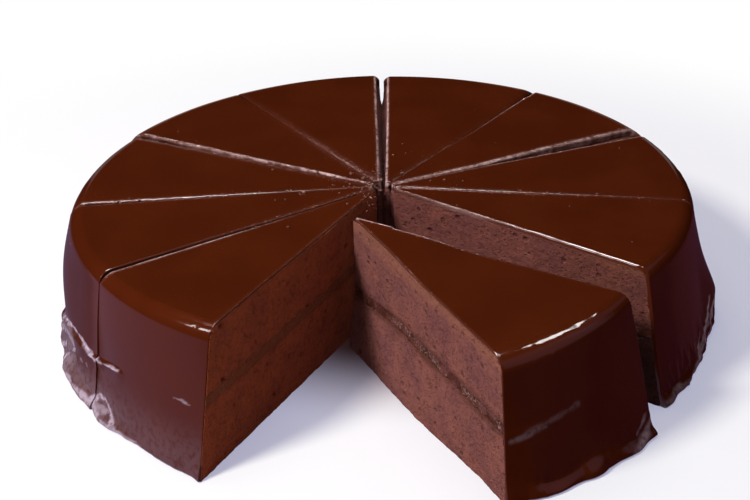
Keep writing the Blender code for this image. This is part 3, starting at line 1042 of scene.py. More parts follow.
def capped(rings, masks):
    """Rings with more rings drawn in to the middle at both ends, and their masks carried along."""
    low, high = rings[0].mean(0), rings[-1].mean(0)
    lower = [low + (rings[0] - low) * s for s in CAP_SHRINKS[::-1]]
    upper = [high + (rings[-1] - high) * s for s in CAP_SHRINKS]
    whole = np.concatenate([np.array(lower), rings, np.array(upper)])
    spread = {}
    for name, values in masks.items():
        joined = np.concatenate([values[:1]] * len(lower) + [values] + [values[-1:]] * len(upper))
        spread[name] = np.concatenate([joined.reshape(-1), [0.0, 0.0]])
    return *closed_rings(whole), spread


# ---------------------------------------------------------------- crumbs and specks

BLOB_AROUND, BLOB_UP = 7, 5
BLOB_DENTS, BLOB_STRETCH = 0.42, 0.5
DENT_SIZE = 0.9  # in a blob's radius
DENTS_APART, STRETCH_APART = 7.3, 3.7  # in the noise, so that no two blobs are the same
CRUMB_DRAWS, CRUMB_SEED, CRUMB_SQUASH = 5, 7, 0.75
SPECK_DRAWS, SPECK_SEED, SPECK_SQUASH = 11, 13, 0.8
# Crumbs along the cuts: between which slices, share of all crumbs, from how far out to how far out
CRUMB_LINES = (
    ("slice_7", "slice_8", 0.16, (0.004, 0.116)),
    ("slice_8", "slice_9", 0.10, (0.004, 0.070)),
    ("slice_1", "slice_2", 0.18, (0.004, 0.110)),
    ("slice_6", "slice_7", 0.08, (0.004, 0.100)),
)
CUT_SPREAD = 0.42  # how far they lie beside the cut, in cut widths
# Round the middle: angles, nearest, how much further, and a power that crowds them inwards
MIDDLE_CRUMBS = ((95.0, 265.0), 0.003, 0.020, 1.5)
STRAY_CRUMBS, STRAYS = ((-35.0, 240.0), 0.012, 0.038, 1.0), 26
SPECKS = ((-36.0, 240.0), 0.020, 0.090, 0.7)
SPECK_SIZE = 0.00022
SIZE_SPREAD = 0.35
SUNK_CRUMB = 0.25  # a crumb's middle above the icing, in its radius
RIM_CENTRE = float(np.mean([np.mean(piece.centres) for piece in SLICES.values()]))
# Small bubbles on the rim: from and to as angles, how far over the rim in degrees, how many
RIM_BUBBLES = (
    (227.0, 234.0, 50.0, 9),
    (209.5, 212.8, 42.0, 3),
    (193.0, 200.0, 46.0, 3),
    (-22.0, -10.0, 45.0, 3),
    (-3.0, 12.0, 51.5, 7),
)
RIM_SPREAD, RIM_SIZE = 5.0, 0.8


def blobs(places, sizes, seed, squash):
    """Many small lumps in one mesh: each a sphere of a few faces, squashed and dented by its own noise."""
    turn = np.arange(BLOB_AROUND) * 2 * math.pi / BLOB_AROUND
    rise = np.linspace(-1.0, 1.0, BLOB_UP + 2)[1:-1] * math.pi / 2
    rings = np.stack([
        np.cos(rise)[:, None] * np.cos(turn),
        np.cos(rise)[:, None] * np.sin(turn),
        np.sin(rise)[:, None] + 0 * turn,
    ], axis=-1)
    points, corners, faces = closed_rings(rings)
    points[-2:] = [[0, 0, -1.0], [0, 0, 1.0]]
    own = points[None] + np.arange(len(places))[:, None, None] * DENTS_APART
    dented = points[None] * (1 + BLOB_DENTS * noise(own, DENT_SIZE, seed))[..., None]
    apart = np.arange(len(places) * 3).reshape(-1, 1, 3) * STRETCH_APART
    stretch = 1 + BLOB_STRETCH * noise(apart, 1.0, seed + 1)[..., None]
    shaped = dented * sizes[:, None, None] * stretch * np.array([1.0, 1.0, squash])
    moved = shaped + places[:, None]
    shifts = np.arange(len(places))[:, None] * len(points)
    return moved.reshape(-1, 3), (corners + shifts).reshape(-1), np.tile(faces, len(places))


def along_cut(first, second, count, reach, draws):
    """Places on the top along the cut between two slices, as far out as reach says."""
    one, two = SLICES[first], SLICES[second]
    radius = reach[0] + (reach[1] - reach[0]) * draws.random(count)
    near = one.apex + polar(math.radians(one.end), radius)
    far = two.apex + polar(math.radians(two.start), radius)
    return (near + far) / 2 + (far - near) * draws.normal(0.0, CUT_SPREAD, count)[:, None]


# ---------------------------------------------------------------- materials

ICING_IOR, JAM_IOR = 1.47, 1.42
# How deep each finish's fine relief is, in metres
ICING_BUMPS, SPONGE_BUMPS, JAM_BUMPS, CRUMB_BUMPS = 0.00016, 0.00042, 0.00050, 0.00015
PORE_BEND = (0.0007, 0.0007, 0.0007)  # how far noise moves the pores' cells, in metres


def linked(tree, node, operation=None, **inputs):
    """A new node with some of its inputs set or linked. Names use _ for spaces, and i0, i1 go by number."""
    made = tree.nodes.new(node)
    if operation:
        made.operation = operation
    for name, value in inputs.items():
        numbered = name[0] == "i" and name[1:].isdigit()
        socket = made.inputs[int(name[1:]) if numbered else name.replace("_", " ")]
        if isinstance(value, bpy.types.NodeSocket):
            tree.links.new(value, socket)
        else:
            socket.default_value = value
    return made


def maths(tree, operation, *values, clamp=False):
    """One step of arithmetic on numbers or sockets."""
    made = linked(tree, "ShaderNodeMath", operation, **{f"i{k}": v for k, v in enumerate(values)})
    made.use_clamp = clamp
    return made.outputs[0]


def times(tree, first, second, clamp=False):
    """Two values multiplied."""
    return maths(tree, "MULTIPLY", first, second, clamp=clamp)


def weighed(tree, value, weight, rest, clamp=False):
    """A value times its weight, plus the rest."""
    return maths(tree, "MULTIPLY_ADD", value, weight, rest, clamp=clamp)


def ranged(tree, value, low, high, out_low=0.0, out_high=1.0):
    """A soft step from out_low at low to out_high at high."""
    ends = {"From_Min": low, "From_Max": high, "To_Min": out_low, "To_Max": out_high}
    made = linked(tree, "ShaderNodeMapRange", Value=value, **ends)
    made.interpolation_type = "SMOOTHSTEP"
    return made.outputs[0]


def mixed(tree, share, first, second, blend="MIX"):
    """Two colours, mixed by a share."""
    made = tree.nodes.new("ShaderNodeMix")
    made.data_type, made.blend_type = "RGBA", blend
    for socket, value in ((made.inputs[0], share), (made.inputs[6], first), (made.inputs[7], second)):
        if isinstance(value, bpy.types.NodeSocket):
            tree.links.new(value, socket)
        else:
            socket.default_value = value if socket == made.inputs[0] else (*value[:3], 1.0)
    return made.outputs[2]


def object_place(tree):
    """A place in metres on the object's own coordinates."""
    return tree.nodes.new("ShaderNodeTexCoord").outputs["Object"]


def new_group(name, inputs, outputs):
    """A node group with named number inputs and its outputs, as (tree, input sockets, output node)."""
    tree = bpy.data.node_groups.new(name, "ShaderNodeTree")
    for label, default in inputs.items():
        socket = tree.interface.new_socket(label, in_out="INPUT", socket_type="NodeSocketFloat")
        socket.default_value = default
    for label in outputs:
        tree.interface.new_socket(label, in_out="OUTPUT", socket_type="NodeSocketFloat")
    given, result = tree.nodes.new("NodeGroupInput"), tree.nodes.new("NodeGroupOutput")
    return tree, given.outputs, result.inputs


def patches_group():
    """Soft uneven patches: noise of a size in metres on the object's own coordinates, 0 to 1."""
    tree, given, result = new_group("Soft patches", {"Size": 0.02, "Detail": 3.0}, ["Mask"])
    pattern = linked(tree, "ShaderNodeTexNoise", Vector=object_place(tree), Detail=given["Detail"],
                     Scale=maths(tree, "DIVIDE", 1.0, given["Size"]), Roughness=0.55)
    tree.links.new(ranged(tree, pattern.outputs["Fac"], 0.30, 0.70), result["Mask"])


def height_group():
    """How high a place is on the object: 0 at the low height, in metres, and 1 at the high one."""
    tree, given, result = new_group("Height", {"Low": 0.0, "High": 1.0}, ["Mask"])
    apart = linked(tree, "ShaderNodeSeparateXYZ", Vector=object_place(tree))
    risen = linked(tree, "ShaderNodeMapRange", Value=apart.outputs["Z"], From_Min=given["Low"],
                   From_Max=given["High"])
    tree.links.new(risen.outputs["Result"], result["Mask"])


def pores_group():
    """Fine open pores: the middles of cells of a size in metres, 1 in a pore, and the crumb's height."""
    tree, given, result = new_group("Crumb pores", {"Size": 0.0012, "Share": 0.35}, ["Pore", "Height"])
    place = object_place(tree)
    scale = maths(tree, "DIVIDE", 1.0, given["Size"])
    bend = linked(tree, "ShaderNodeTexNoise", Vector=place, Scale=times(tree, scale, 0.8), Detail=2.0)
    moved = linked(tree, "ShaderNodeVectorMath", "MULTIPLY_ADD", i0=bend.outputs["Color"],
                   i1=PORE_BEND, i2=place)
    cells = linked(tree, "ShaderNodeTexVoronoi", Vector=moved.outputs[0], Scale=scale)
    drawn = linked(tree, "ShaderNodeSeparateColor", Color=cells.outputs["Color"])
    chance = maths(tree, "LESS_THAN", drawn.outputs[0], given["Share"])
    pore = times(tree, ranged(tree, cells.outputs["Distance"], 0.42, 0.18), chance)
    grain = linked(tree, "ShaderNodeTexNoise", Vector=place, Scale=times(tree, scale, 2.2), Detail=4.0,
                   Roughness=0.7)
    tree.links.new(pore, result["Pore"])
    tree.links.new(maths(tree, "SUBTRACT", grain.outputs["Fac"], pore), result["Height"])


def placed(tree, group, **values):
    """A group node with its inputs set."""
    made = tree.nodes.new("ShaderNodeGroup")
    made.node_tree = bpy.data.node_groups[group]
    for name, value in values.items():
        made.inputs[name].default_value = value
    return made.outputs


def patches(tree, size, detail=3.0):
    """The soft patches' mask, at a size in metres."""
    return placed(tree, "Soft patches", Size=size, Detail=detail)["Mask"]


def new_material(name):
    """A material with its node tree and its Principled BSDF."""
    material = bpy.data.materials.new(name)
    material.use_nodes = True
    tree = material.node_tree
    return material, tree, tree.nodes["Principled BSDF"]


def mask_of(tree, name):
    """One of the numbers that a piece carries at its points."""
    made = tree.nodes.new("ShaderNodeAttribute")
    made.attribute_name = name
    return made.outputs["Fac"]


def bumped(tree, shader, height, depth):
    """Relief too fine for the mesh: a height from 0 to 1 and how deep that is in metres."""
    made = linked(tree, "ShaderNodeBump", Height=height, Strength=1.0, Distance=depth)
    tree.links.new(made.outputs["Normal"], shader.inputs["Normal"])


def icing_material(settings):
    """Poured chocolate icing: a deep gloss with faint patches, dull and painted lighter at the cuts, with
    painted highlights by the cut edges and painted reflections in the side's streaks.
    """
    material, tree, shader = new_material("Poured chocolate icing")
    cloud, dust, flakes = patches(tree, 0.030, 2.0), patches(tree, 0.0016), patches(tree, 0.0022, 4.0)
    cut = mask_of(tree, "cut")
    smear = times(tree, mask_of(tree, "smear"), ranged(tree, dust, -0.3, 0.75))
    pale = maths(tree, "POWER", mask_of(tree, "pale"), 1.4)
    # Painted highlights by the cuts, broken up in flakes
    painted_highlight_share = times(tree, pale, ranged(tree, flakes, -0.35, 0.70, 0.15, 1.0), clamp=True)
    high = placed(tree, "Height", Low=0.040, High=0.050)["Mask"]
    tone = mixed(tree, cloud, settings.dark, settings.light)
    # The cut walls: dull knife-cut icing, painted lighter to stand in for light in the narrow cuts
    tone = mixed(tree, times(tree, cut, 0.7), tone, settings.cut_with_painted_light)
    tone = mixed(tree, times(tree, smear, 0.75, clamp=True), tone, settings.smeared)
    # Pale is painted in the reflection colour low on the side and in the highlight colour near the top
    tone = mixed(tree, painted_highlight_share, tone, mixed(tree, high, settings.painted_reflection, settings.painted_highlight))
    tree.links.new(tone, shader.inputs["Base Color"])
    rough = weighed(tree, cloud, 0.03, settings.roughness)
    rough = weighed(tree, smear, 0.16, rough)
    rough = weighed(tree, painted_highlight_share, 0.20, rough)
    rough = weighed(tree, times(tree, cut, ranged(tree, dust, -1.0, 1.0)), 0.40, rough)
    tree.links.new(rough, shader.inputs["Roughness"])
    tree.links.new(weighed(tree, cut, -0.44, 0.5), shader.inputs["Specular IOR Level"])
    shader.inputs["IOR"].default_value = ICING_IOR
    worn = maths(tree, "ADD", times(tree, cut, 0.4), smear)
    bumped(tree, shader, times(tree, dust, maths(tree, "ADD", worn, 0.02)), ICING_BUMPS)
    return material


def sponge_material(settings):
    """Moist chocolate sponge: mottled crumb with painted shade in its pores, browner under the icing, dark by
    the jam, and painted light and shade on its cut faces.
    """
    material, tree, shader = new_material("Chocolate sponge")
    cloud, fleck, damp = patches(tree, 0.011, 4.0), patches(tree, 0.0014), patches(tree, 0.0024, 4.0)
    crumb = placed(tree, "Crumb pores", Size=0.00105, Share=0.34)
    coarse = placed(tree, "Crumb pores", Size=0.0029, Share=0.12)
    tone = mixed(tree, cloud, settings.dark, settings.light)
    tone = mixed(tree, times(tree, fleck, 0.42), tone, settings.fleck)
    tone = mixed(tree, ranged(tree, damp, 0.45, 0.0, 0.0, 0.30), tone, settings.pore)
    tone = mixed(tree, times(tree, mask_of(tree, "iced"), 0.85), tone, settings.under_icing)
    # Painted shade in the fine pores and in the mesh's holes
    fine = times(tree, maths(tree, "MAXIMUM", crumb["Pore"], coarse["Pore"]), 0.26)
    holes = maths(tree, "MAXIMUM", fine, times(tree, mask_of(tree, "hole"), 0.60))
    tone = mixed(tree, holes, tone, settings.pore)
    wet = times(tree, mask_of(tree, "soaked"), ranged(tree, cloud, -0.6, 0.7), clamp=True)
    tone = mixed(tree, times(tree, wet, 0.8), tone, settings.soaked)
    # Painted shade tint on the cut faces in the shade
    tone = mixed(tree, mask_of(tree, "shade"), tone, mixed(tree, 1.0, tone, settings.painted_shade_tint, "MULTIPLY"))
    # Painted light and shade: the lit mask brightens or darkens the crumb's colour
    tone = mixed(tree, 1.0, tone, mask_of(tree, "lit"), "MULTIPLY")
    tree.links.new(tone, shader.inputs["Base Color"])
    tree.links.new(weighed(tree, wet, -0.35, 0.88), shader.inputs["Roughness"])
    shader.inputs["Specular IOR Level"].default_value = 0.12
    bumped(tree, shader, weighed(tree, coarse["Height"], 1.5, crumb["Height"]), SPONGE_BUMPS)
    return material


def jam_material(settings):
    """Cooked jam soaked into the crumb: dark, lumpy and moist, with wet spots, painted glints, and a painted
    shade colour on the face in the shade.
    """
    material, tree, shader = new_material("Cooked jam")
    cloud, fleck, painted_glint_noise = patches(tree, 0.0045, 4.0), patches(tree, 0.0010, 2.0), patches(tree, 0.0007)
    sparse = ranged(tree, patches(tree, 0.0110, 2.0), 0.45, 0.75)
    shade = mask_of(tree, "shade")
    tone = mixed(tree, cloud, settings.dark, settings.light)
    # Painted glints: sparse pale specks
    tone = mixed(tree, times(tree, ranged(tree, painted_glint_noise, 0.62, 1.0), sparse), tone, settings.painted_glints)
    # Painted shade colour of the jam on the face in the shade
    tone = mixed(tree, times(tree, shade, 0.8), tone, settings.painted_shade_tint)
    tree.links.new(tone, shader.inputs["Base Color"])
    wet = ranged(tree, times(tree, fleck, cloud), 0.45, 0.75)
    tree.links.new(weighed(tree, wet, -0.42, 0.62), shader.inputs["Roughness"])
    gleam = times(tree, weighed(tree, wet, 0.60, 0.06), weighed(tree, shade, -1.0, 1.0, clamp=True))
    tree.links.new(gleam, shader.inputs["Specular IOR Level"])
    shader.inputs["IOR"].default_value = JAM_IOR
    bumped(tree, shader, weighed(tree, fleck, 0.5, cloud), JAM_BUMPS)
    return material


def crumb_material(settings):
    """Loose crumbs of the sponge, some of them pale where they are dry."""
    material, tree, shader = new_material("Loose crumbs")
    fleck = patches(tree, 0.0009)
    tone = mixed(tree, patches(tree, 0.0060, 1.0), settings.dark, settings.light)
    tone = mixed(tree, times(tree, fleck, 0.5), tone, settings.dark)
    tree.links.new(tone, shader.inputs["Base Color"])
    shader.inputs["Roughness"].default_value = 0.6
    bumped(tree, shader, fleck, CRUMB_BUMPS)
    return material


# ---------------------------------------------------------------- settings


def colour(name, description, default):
    """A setting for a linear RGB colour."""
    kind = {"subtype": "COLOR", "min": 0.0, "max": 1.0}
    return FloatVectorProperty(name=name, description=description, default=default, **kind)


def share(name, description, default, highest=2.0):
    """A setting for a share, where 1 leaves things as they are."""
    kind = {"subtype": "FACTOR", "min": 0.0, "max": highest}
    return FloatProperty(name=name, description=description, default=default, **kind)


def length(name, description, default, lowest, highest):
    """A setting for a length in metres."""
    kind = {"unit": "LENGTH", "min": lowest, "max": highest}
    return FloatProperty(name=name, description=description, default=default, **kind)


def power(name, description, default):
    """A setting for a light's power in watts."""
    return FloatProperty(name=name, description=description, default=default, unit="POWER")


def number(name, description, default, highest):
    """A setting for a whole number from 0 up."""
    return IntProperty(name=name, description=description, default=default, min=0, max=highest)


class IcingSettings(bpy.types.PropertyGroup):
    dark: colour("Dark", "Darker patches of the icing", (0.058, 0.0090, 0.0022))
    light: colour("Light", "Lighter patches of the icing", (0.068, 0.0110, 0.0027))
    # Knife-cut icing, dull, and painted lighter than the icing to stand in for the light that the narrow cuts
    # miss
    cut_with_painted_light: colour("Cut", "Where the knife cut the icing", (0.120, 0.036, 0.026))
    smeared: colour("Smeared", "Icing with crumbs dragged into it", (0.100, 0.033, 0.024))
    # Painted highlight: the pale colour that stands for gloss along the cut edges
    painted_highlight: colour("Sugared", "Sugar bloom at the cut edges", (0.600, 0.390, 0.385))
    # Painted reflection: the pale lilac colour of the streaks low on the side
    painted_reflection: colour("Dried", "Icing that set pale low on the side", (0.500, 0.395, 0.500))
    roughness: share("Roughness", "How dull the poured surface is", 0.085, 1.0)
    edge: share("Edge softness", "Share of the cut edges' radius", 1.0)
    foot: share("Foot", "Share of the foot's swell at the board", 1.0)


class SpongeSettings(bpy.types.PropertyGroup):
    dark: colour("Dark", "Darker patches of the crumb", (0.168, 0.060, 0.062))
    light: colour("Light", "Lighter patches of the crumb", (0.245, 0.088, 0.070))
    fleck: colour("Flecks", "Small pale flecks in the crumb", (0.270, 0.105, 0.090))
    under_icing: colour("Under the icing", "The crumb next to the icing", (0.275, 0.105, 0.074))
    # Painted shade in the pores and holes; darker damp patches also lean towards this colour
    pore: colour("Pores", "The floors of pores", (0.070, 0.020, 0.015))
    soaked: colour("Soaked", "The crumb next to the jam", (0.085, 0.026, 0.014))
    # Painted shade: the tint of the cut faces in the shade
    painted_shade_tint: colour("Browned", "Tint of the slices that the light reaches last", (1.0, 0.62, 0.32))
    pores: share("Pore depth", "Share of the pores' depth", 1.0)


class JamSettings(bpy.types.PropertyGroup):
    dark: colour("Dark", "Thick jam", (0.058, 0.0170, 0.0110))
    light: colour("Light", "Jam mixed with crumb", (0.135, 0.044, 0.036))
    # Painted glints: pale specks that stand for gloss on the jam
    painted_glints: colour("Crystals", "Sugar that glints in the jam", (0.330, 0.215, 0.195))
    # Painted shade: the jam's colour on the cut face in the shade
    painted_shade_tint: colour("Browned", "Jam where the light reaches last", (0.215, 0.066, 0.036))


class CrumbSettings(bpy.types.PropertyGroup):
    dark: colour("Dark", "Moist crumbs", (0.090, 0.026, 0.018))
    light: colour("Light", "Dry crumbs", (0.215, 0.108, 0.080))
    count: number("Crumbs", "How many crumbs lie on the cake", 200, 2000)
    size: length("Size", "Radius of a usual crumb", 0.00032, 0.0001, 0.002)
    specks: number("Specks", "Small bubbles set in the icing", 70, 500)


class StageSettings(bpy.types.PropertyGroup):
    key: power("Key light", "Power of the soft light on the left", 18.2)
    overhead: power("Overhead light", "Power of the light above", 2.2)
    ambient: colour("Ambient", "Even light of the room on every side", (0.26, 0.235, 0.215))
    floor: colour("Floor", "The pale floor", (0.63, 0.61, 0.50))
    # Painted shade on the floor between the slices
    painted_floor_shade: colour("Between the slices", "The floor in the shade between the slices", (0.20, 0.10, 0.10))
    # Painted light: a glow that only the eye sees, lifting the floor's shadows away from the cake
    glow: colour("Floor's glow", "Light that shines through the pale floor", (0.29, 0.31, 0.46))
    bounce: colour("Floor's bounce", "The light that the floor throws back up", (0.42, 0.33, 0.29))


class CakeSettings(bpy.types.PropertyGroup):
    icing: PointerProperty(type=IcingSettings)
    sponge: PointerProperty(type=SpongeSettings)
    jam: PointerProperty(type=JamSettings)
    crumbs: PointerProperty(type=CrumbSettings)
    stage: PointerProperty(type=StageSettings)


# ---------------------------------------------------------------- operators


class CAKE_OT_prepare(bpy.types.Operator):
    """Make the shader groups that several finishes use"""

    bl_idname = "cake.prepare"
    bl_label = "Shader groups"

    def execute(self, context):
        height_group()
        patches_group()
        pores_group()
        return {"FINISHED"}


class CAKE_OT_icing(bpy.types.Operator):
    """Pour the icing over every slice"""

    bl_idname = "cake.icing"
    bl_label = "Icing"

    def execute(self, context):
        settings = context.scene.cake.icing
        material = icing_material(settings)
        for name, piece in SLICES.items():
            flat, corners, sizes, masks = bottom_closed(*icing_shell(piece, settings))
            make_piece(f"icing_of_{name}", flat, corners, sizes, material, "icing", [f"{name}_icing"], masks)
        return {"FINISHED"}


class CAKE_OT_sponge(bpy.types.Operator):
    """Bake the lower and the upper sponge of every slice"""

    bl_idname = "cake.sponge"
    bl_label = "Sponge"

    def execute(self, context):
        settings = context.scene.cake.sponge
        material = sponge_material(settings)
        for name, piece in SLICES.items():
            for kind, word in (("base", "lower"), ("top", "upper")):
                *shape, masks = layer_solid(piece, kind, settings)
                nodes = [f"{name}_{kind}_sponge"]
                make_piece(f"{word}_sponge_of_{name}", *shape, material, "sponge", nodes, masks)
        return {"FINISHED"}


class CAKE_OT_jam(bpy.types.Operator):
    """Spread the jam between the sponges"""

    bl_idname = "cake.jam"
    bl_label = "Jam"

    def execute(self, context):
        settings = context.scene.cake.jam
        material = jam_material(settings)
        for name, piece in SLICES.items():
            *shape, masks = layer_solid(piece, "jam", settings)
            make_piece(f"jam_of_{name}", *shape, material, "jam", [f"{name}_jam"], masks)
        return {"FINISHED"}


class CAKE_OT_crumbs(bpy.types.Operator):
    """Scatter crumbs along the cuts and round the middle, and small bubbles on the rim"""

    bl_idname = "cake.crumbs"
    bl_label = "Crumbs"

    def execute(self, context):
        settings = context.scene.cake.crumbs
        draws = np.random.default_rng(CRUMB_DRAWS)
        groups = [along_cut(one, two, int(settings.count * part), reach, draws)
                  for one, two, part, reach in CRUMB_LINES]
        loose = settings.count - sum(len(group) for group in groups)
        for (angles, nearest, over, crowding), count in ((MIDDLE_CRUMBS, loose), (STRAY_CRUMBS, STRAYS)):
            turn = draws.uniform(*np.radians(angles), count)
            groups.append(polar(turn, nearest + over * draws.random(count) ** crowding))
        flat = np.concatenate(groups)
        sizes = settings.size * np.exp(draws.normal(0.0, SIZE_SPREAD, len(flat)))
        places = [np.column_stack([flat, HEIGHT + SUNK_CRUMB * sizes])]
        for first, last, tilt, count in RIM_BUBBLES:
            turn = np.radians(draws.uniform(first, last, count))
            lean = np.radians(tilt + draws.normal(0.0, RIM_SPREAD, count))
            flat = polar(turn, RIM_CENTRE + SHOULDER * np.sin(lean))
            places.append(np.column_stack([flat, LEVEL + SHOULDER * np.cos(lean)]))
        places = np.concatenate(places)
        sizes = np.concatenate([sizes, np.full(len(places) - len(sizes), RIM_SIZE * settings.size)])
        made = blobs(places, sizes, CRUMB_SEED, CRUMB_SQUASH)
        make_piece("crumbs", *made, crumb_material(settings), "sponge", [])
        return {"FINISHED"}


class CAKE_OT_specks(bpy.types.Operator):
    """Set a few small bubbles and specks in the icing"""

    bl_idname = "cake.specks"
    bl_label = "Specks in the icing"

    def execute(self, context):
        count = context.scene.cake.crumbs.specks
        draws = np.random.default_rng(SPECK_DRAWS)
        angles, nearest, over, crowding = SPECKS
        turn = np.radians(draws.uniform(*angles, count))
        flat = polar(turn, nearest + over * draws.random(count) ** crowding)
        sizes = SPECK_SIZE * np.exp(draws.normal(0.0, SIZE_SPREAD, count))
        places = np.column_stack([flat, np.full(count, HEIGHT)])
        made = blobs(places, sizes, SPECK_SEED, SPECK_SQUASH)
        material = bpy.data.materials["Poured chocolate icing"]
        make_piece("specks_in_icing", *made, material, "icing", [])
        return {"FINISHED"}


# ---------------------------------------------------------------- stage

BLACK, WHITE = (0.0, 0.0, 0.0), (1.0, 1.0, 1.0)

# The camera, as worked out from the cake's round rim and straight cuts
LENS = 67.94
SENSOR = 36.0
EYE = (0.0, -0.50934, 0.30215)
PITCH, YAW, ROLL = 28.4642, -0.43397, -1.27635  # degrees: down, towards +X, and leaning over

# name: (place, size, aimed at)
LIGHTS = {
    "key": ((-0.806, -0.503, 0.984), 0.30, (0.0, 0.0, 0.03)),
    "overhead": ((-0.10, 0.25, 1.05), 0.80, (0.0, 0.0, 0.05)),
}


def aimed(place, target):
    """The turn that points a light's -Z from its place to a target."""
    away = np.array(place) - np.array(target)
    away = away / np.linalg.norm(away)
    side = np.cross((0.0, 0.0, 1.0), away)
    side = side / np.linalg.norm(side)
    return Matrix(np.column_stack([side, np.cross(away, side), away]).tolist()).to_4x4()


def make_camera():
    """A long lens in front of and above the cake: first the roll, then pitch down, then yaw."""
    data = bpy.data.cameras.new("camera")
    data.lens, data.sensor_width = LENS, SENSOR
    camera = bpy.data.objects.new("camera", data)
    bpy.context.scene.collection.objects.link(camera)
    turn = Matrix.Rotation(math.radians(-YAW), 4, "Z") @ Matrix.Rotation(math.radians(90 - PITCH), 4, "X")
    camera.matrix_world = Matrix.Translation(EYE) @ turn @ Matrix.Rotation(math.radians(ROLL), 4, "Z")
    bpy.context.scene.camera = camera


def make_lights(settings):
    """Round soft lights that the gloss doesn't mirror: the world's cards are there for that."""
    for name, (place, size, target) in LIGHTS.items():
        data = bpy.data.lights.new(name, "AREA")
        data.shape, data.size, data.energy = "DISK", size, getattr(settings, name)
        light = bpy.data.objects.new(name, data)
        bpy.context.scene.collection.objects.link(light)
        light.matrix_world = Matrix.Translation(place) @ aimed(place, target)
        light.visible_glossy = False
        light.visible_camera = False


def band(tree, value, low, high, soft):
    """1 between low and high, falling to 0 within soft outside them."""
    return times(tree, ranged(tree, value, low - soft, low), ranged(tree, value, high, high + soft, 1.0, 0.0))


# What the gloss mirrors, by compass (degrees from +Y towards +X) and height in degrees:
# from and to on the compass, from and to in height, softness, colour, brightness
MIRRORED = (
    ((39.0, 50.5), (48.8, 57.2), 1.2, (1.0, 0.96, 0.94), 19.0),
    ((-108.5, -100.0), (39.0, 51.0), 1.5, (1.0, 0.95, 0.95), 18.0),
    ((-62.0, 2.0), (61.5, 75.0), 1.5, (1.0, 0.95, 0.94), 42.0),
    ((-8.0, 10.0), (48.0, 78.0), 4.0, (1.0, 0.80, 0.85), 0.70),
    ((-23.0, -16.5), (-3.0, 15.0), 1.5, (1.0, 0.84, 0.92), 0.25),
    ((16.5, 23.0), (-3.0, 15.0), 1.5, (1.0, 0.84, 0.86), 0.30),
    ((-13.0, -6.0), (-20.0, 15.0), 2.0, (1.0, 0.74, 0.66), 0.45),
    ((6.0, 13.0), (-20.0, 15.0), 2.0, (1.0, 0.74, 0.66), 0.45),
    ((-140.0, -64.0), (-42.0, -12.0), 8.0, (0.78, 0.54, 0.88), 0.42),
    ((-56.0, -14.0), (-42.0, -15.0), 8.0, (0.64, 0.46, 0.80), 0.18),
    ((-150.0, 180.0), (-90.0, -46.0), 5.0, (0.82, 0.74, 1.00), 1.6),
    ((88.0, 126.0), (12.0, 46.0), 12.0, (0.85, 0.62, 0.90), 0.26),
    ((60.0, 86.0), (28.0, 44.0), 8.0, (0.85, 0.62, 0.90), 0.14),
    ((66.0, 126.0), (-36.0, -10.0), 6.0, (0.30, 0.11, 0.85), 0.032),
    ((66.0, 126.0), (-60.0, -36.0), 6.0, (0.55, 0.24, 1.00), 0.085),
    ((14.0, 60.0), (-46.0, -17.0), 6.0, (1.00, 0.30, 0.70), 0.045),
)


def make_world(settings):
    """A white room for the eye, an even soft light for the colours, and a few cards for the gloss."""
    world = bpy.data.worlds.new("studio")
    bpy.context.scene.world = world
    world.use_nodes = True
    world.cycles.sampling_method = "NONE"
    tree = world.node_tree
    place = tree.nodes.new("ShaderNodeTexCoord").outputs["Generated"]
    way = linked(tree, "ShaderNodeSeparateXYZ", Vector=place)
    degree = math.degrees(1.0)
    high = times(tree, maths(tree, "ARCSINE", way.outputs["Z"]), degree)
    compass = times(tree, maths(tree, "ARCTAN2", way.outputs["X"], way.outputs["Y"]), degree)
    total = BLACK
    for compass_range, high_range, soft, tint, bright in MIRRORED:
        card = times(tree, band(tree, compass, *compass_range, soft), band(tree, high, *high_range, soft))
        lit = linked(tree, "ShaderNodeVectorMath", "SCALE", i0=[c * bright for c in tint], Scale=card)
        total = linked(tree, "ShaderNodeVectorMath", "ADD", i0=total, i1=lit.outputs[0]).outputs[0]
    path = tree.nodes.new("ShaderNodeLightPath")
    seen = mixed(tree, path.outputs["Is Glossy Ray"], settings.ambient, total)
    seen = mixed(tree, path.outputs["Is Camera Ray"], seen, WHITE)
    tree.links.new(seen, tree.nodes["Background"].inputs["Color"])


FLOOR_REACH = 3.0
FLOOR_STEPS = 96
FLOOR_UNDER = (0.034, 0.089)  # from the middle, where the floor's painted shade between the slices gives way and its painted glow grows
FLOOR_SHADOWS = (0.20, 0.34)  # from the middle, where the floor turns from lit to plain white
FLOOR_GRAIN, GRAIN_TONE = 60.0, 0.99


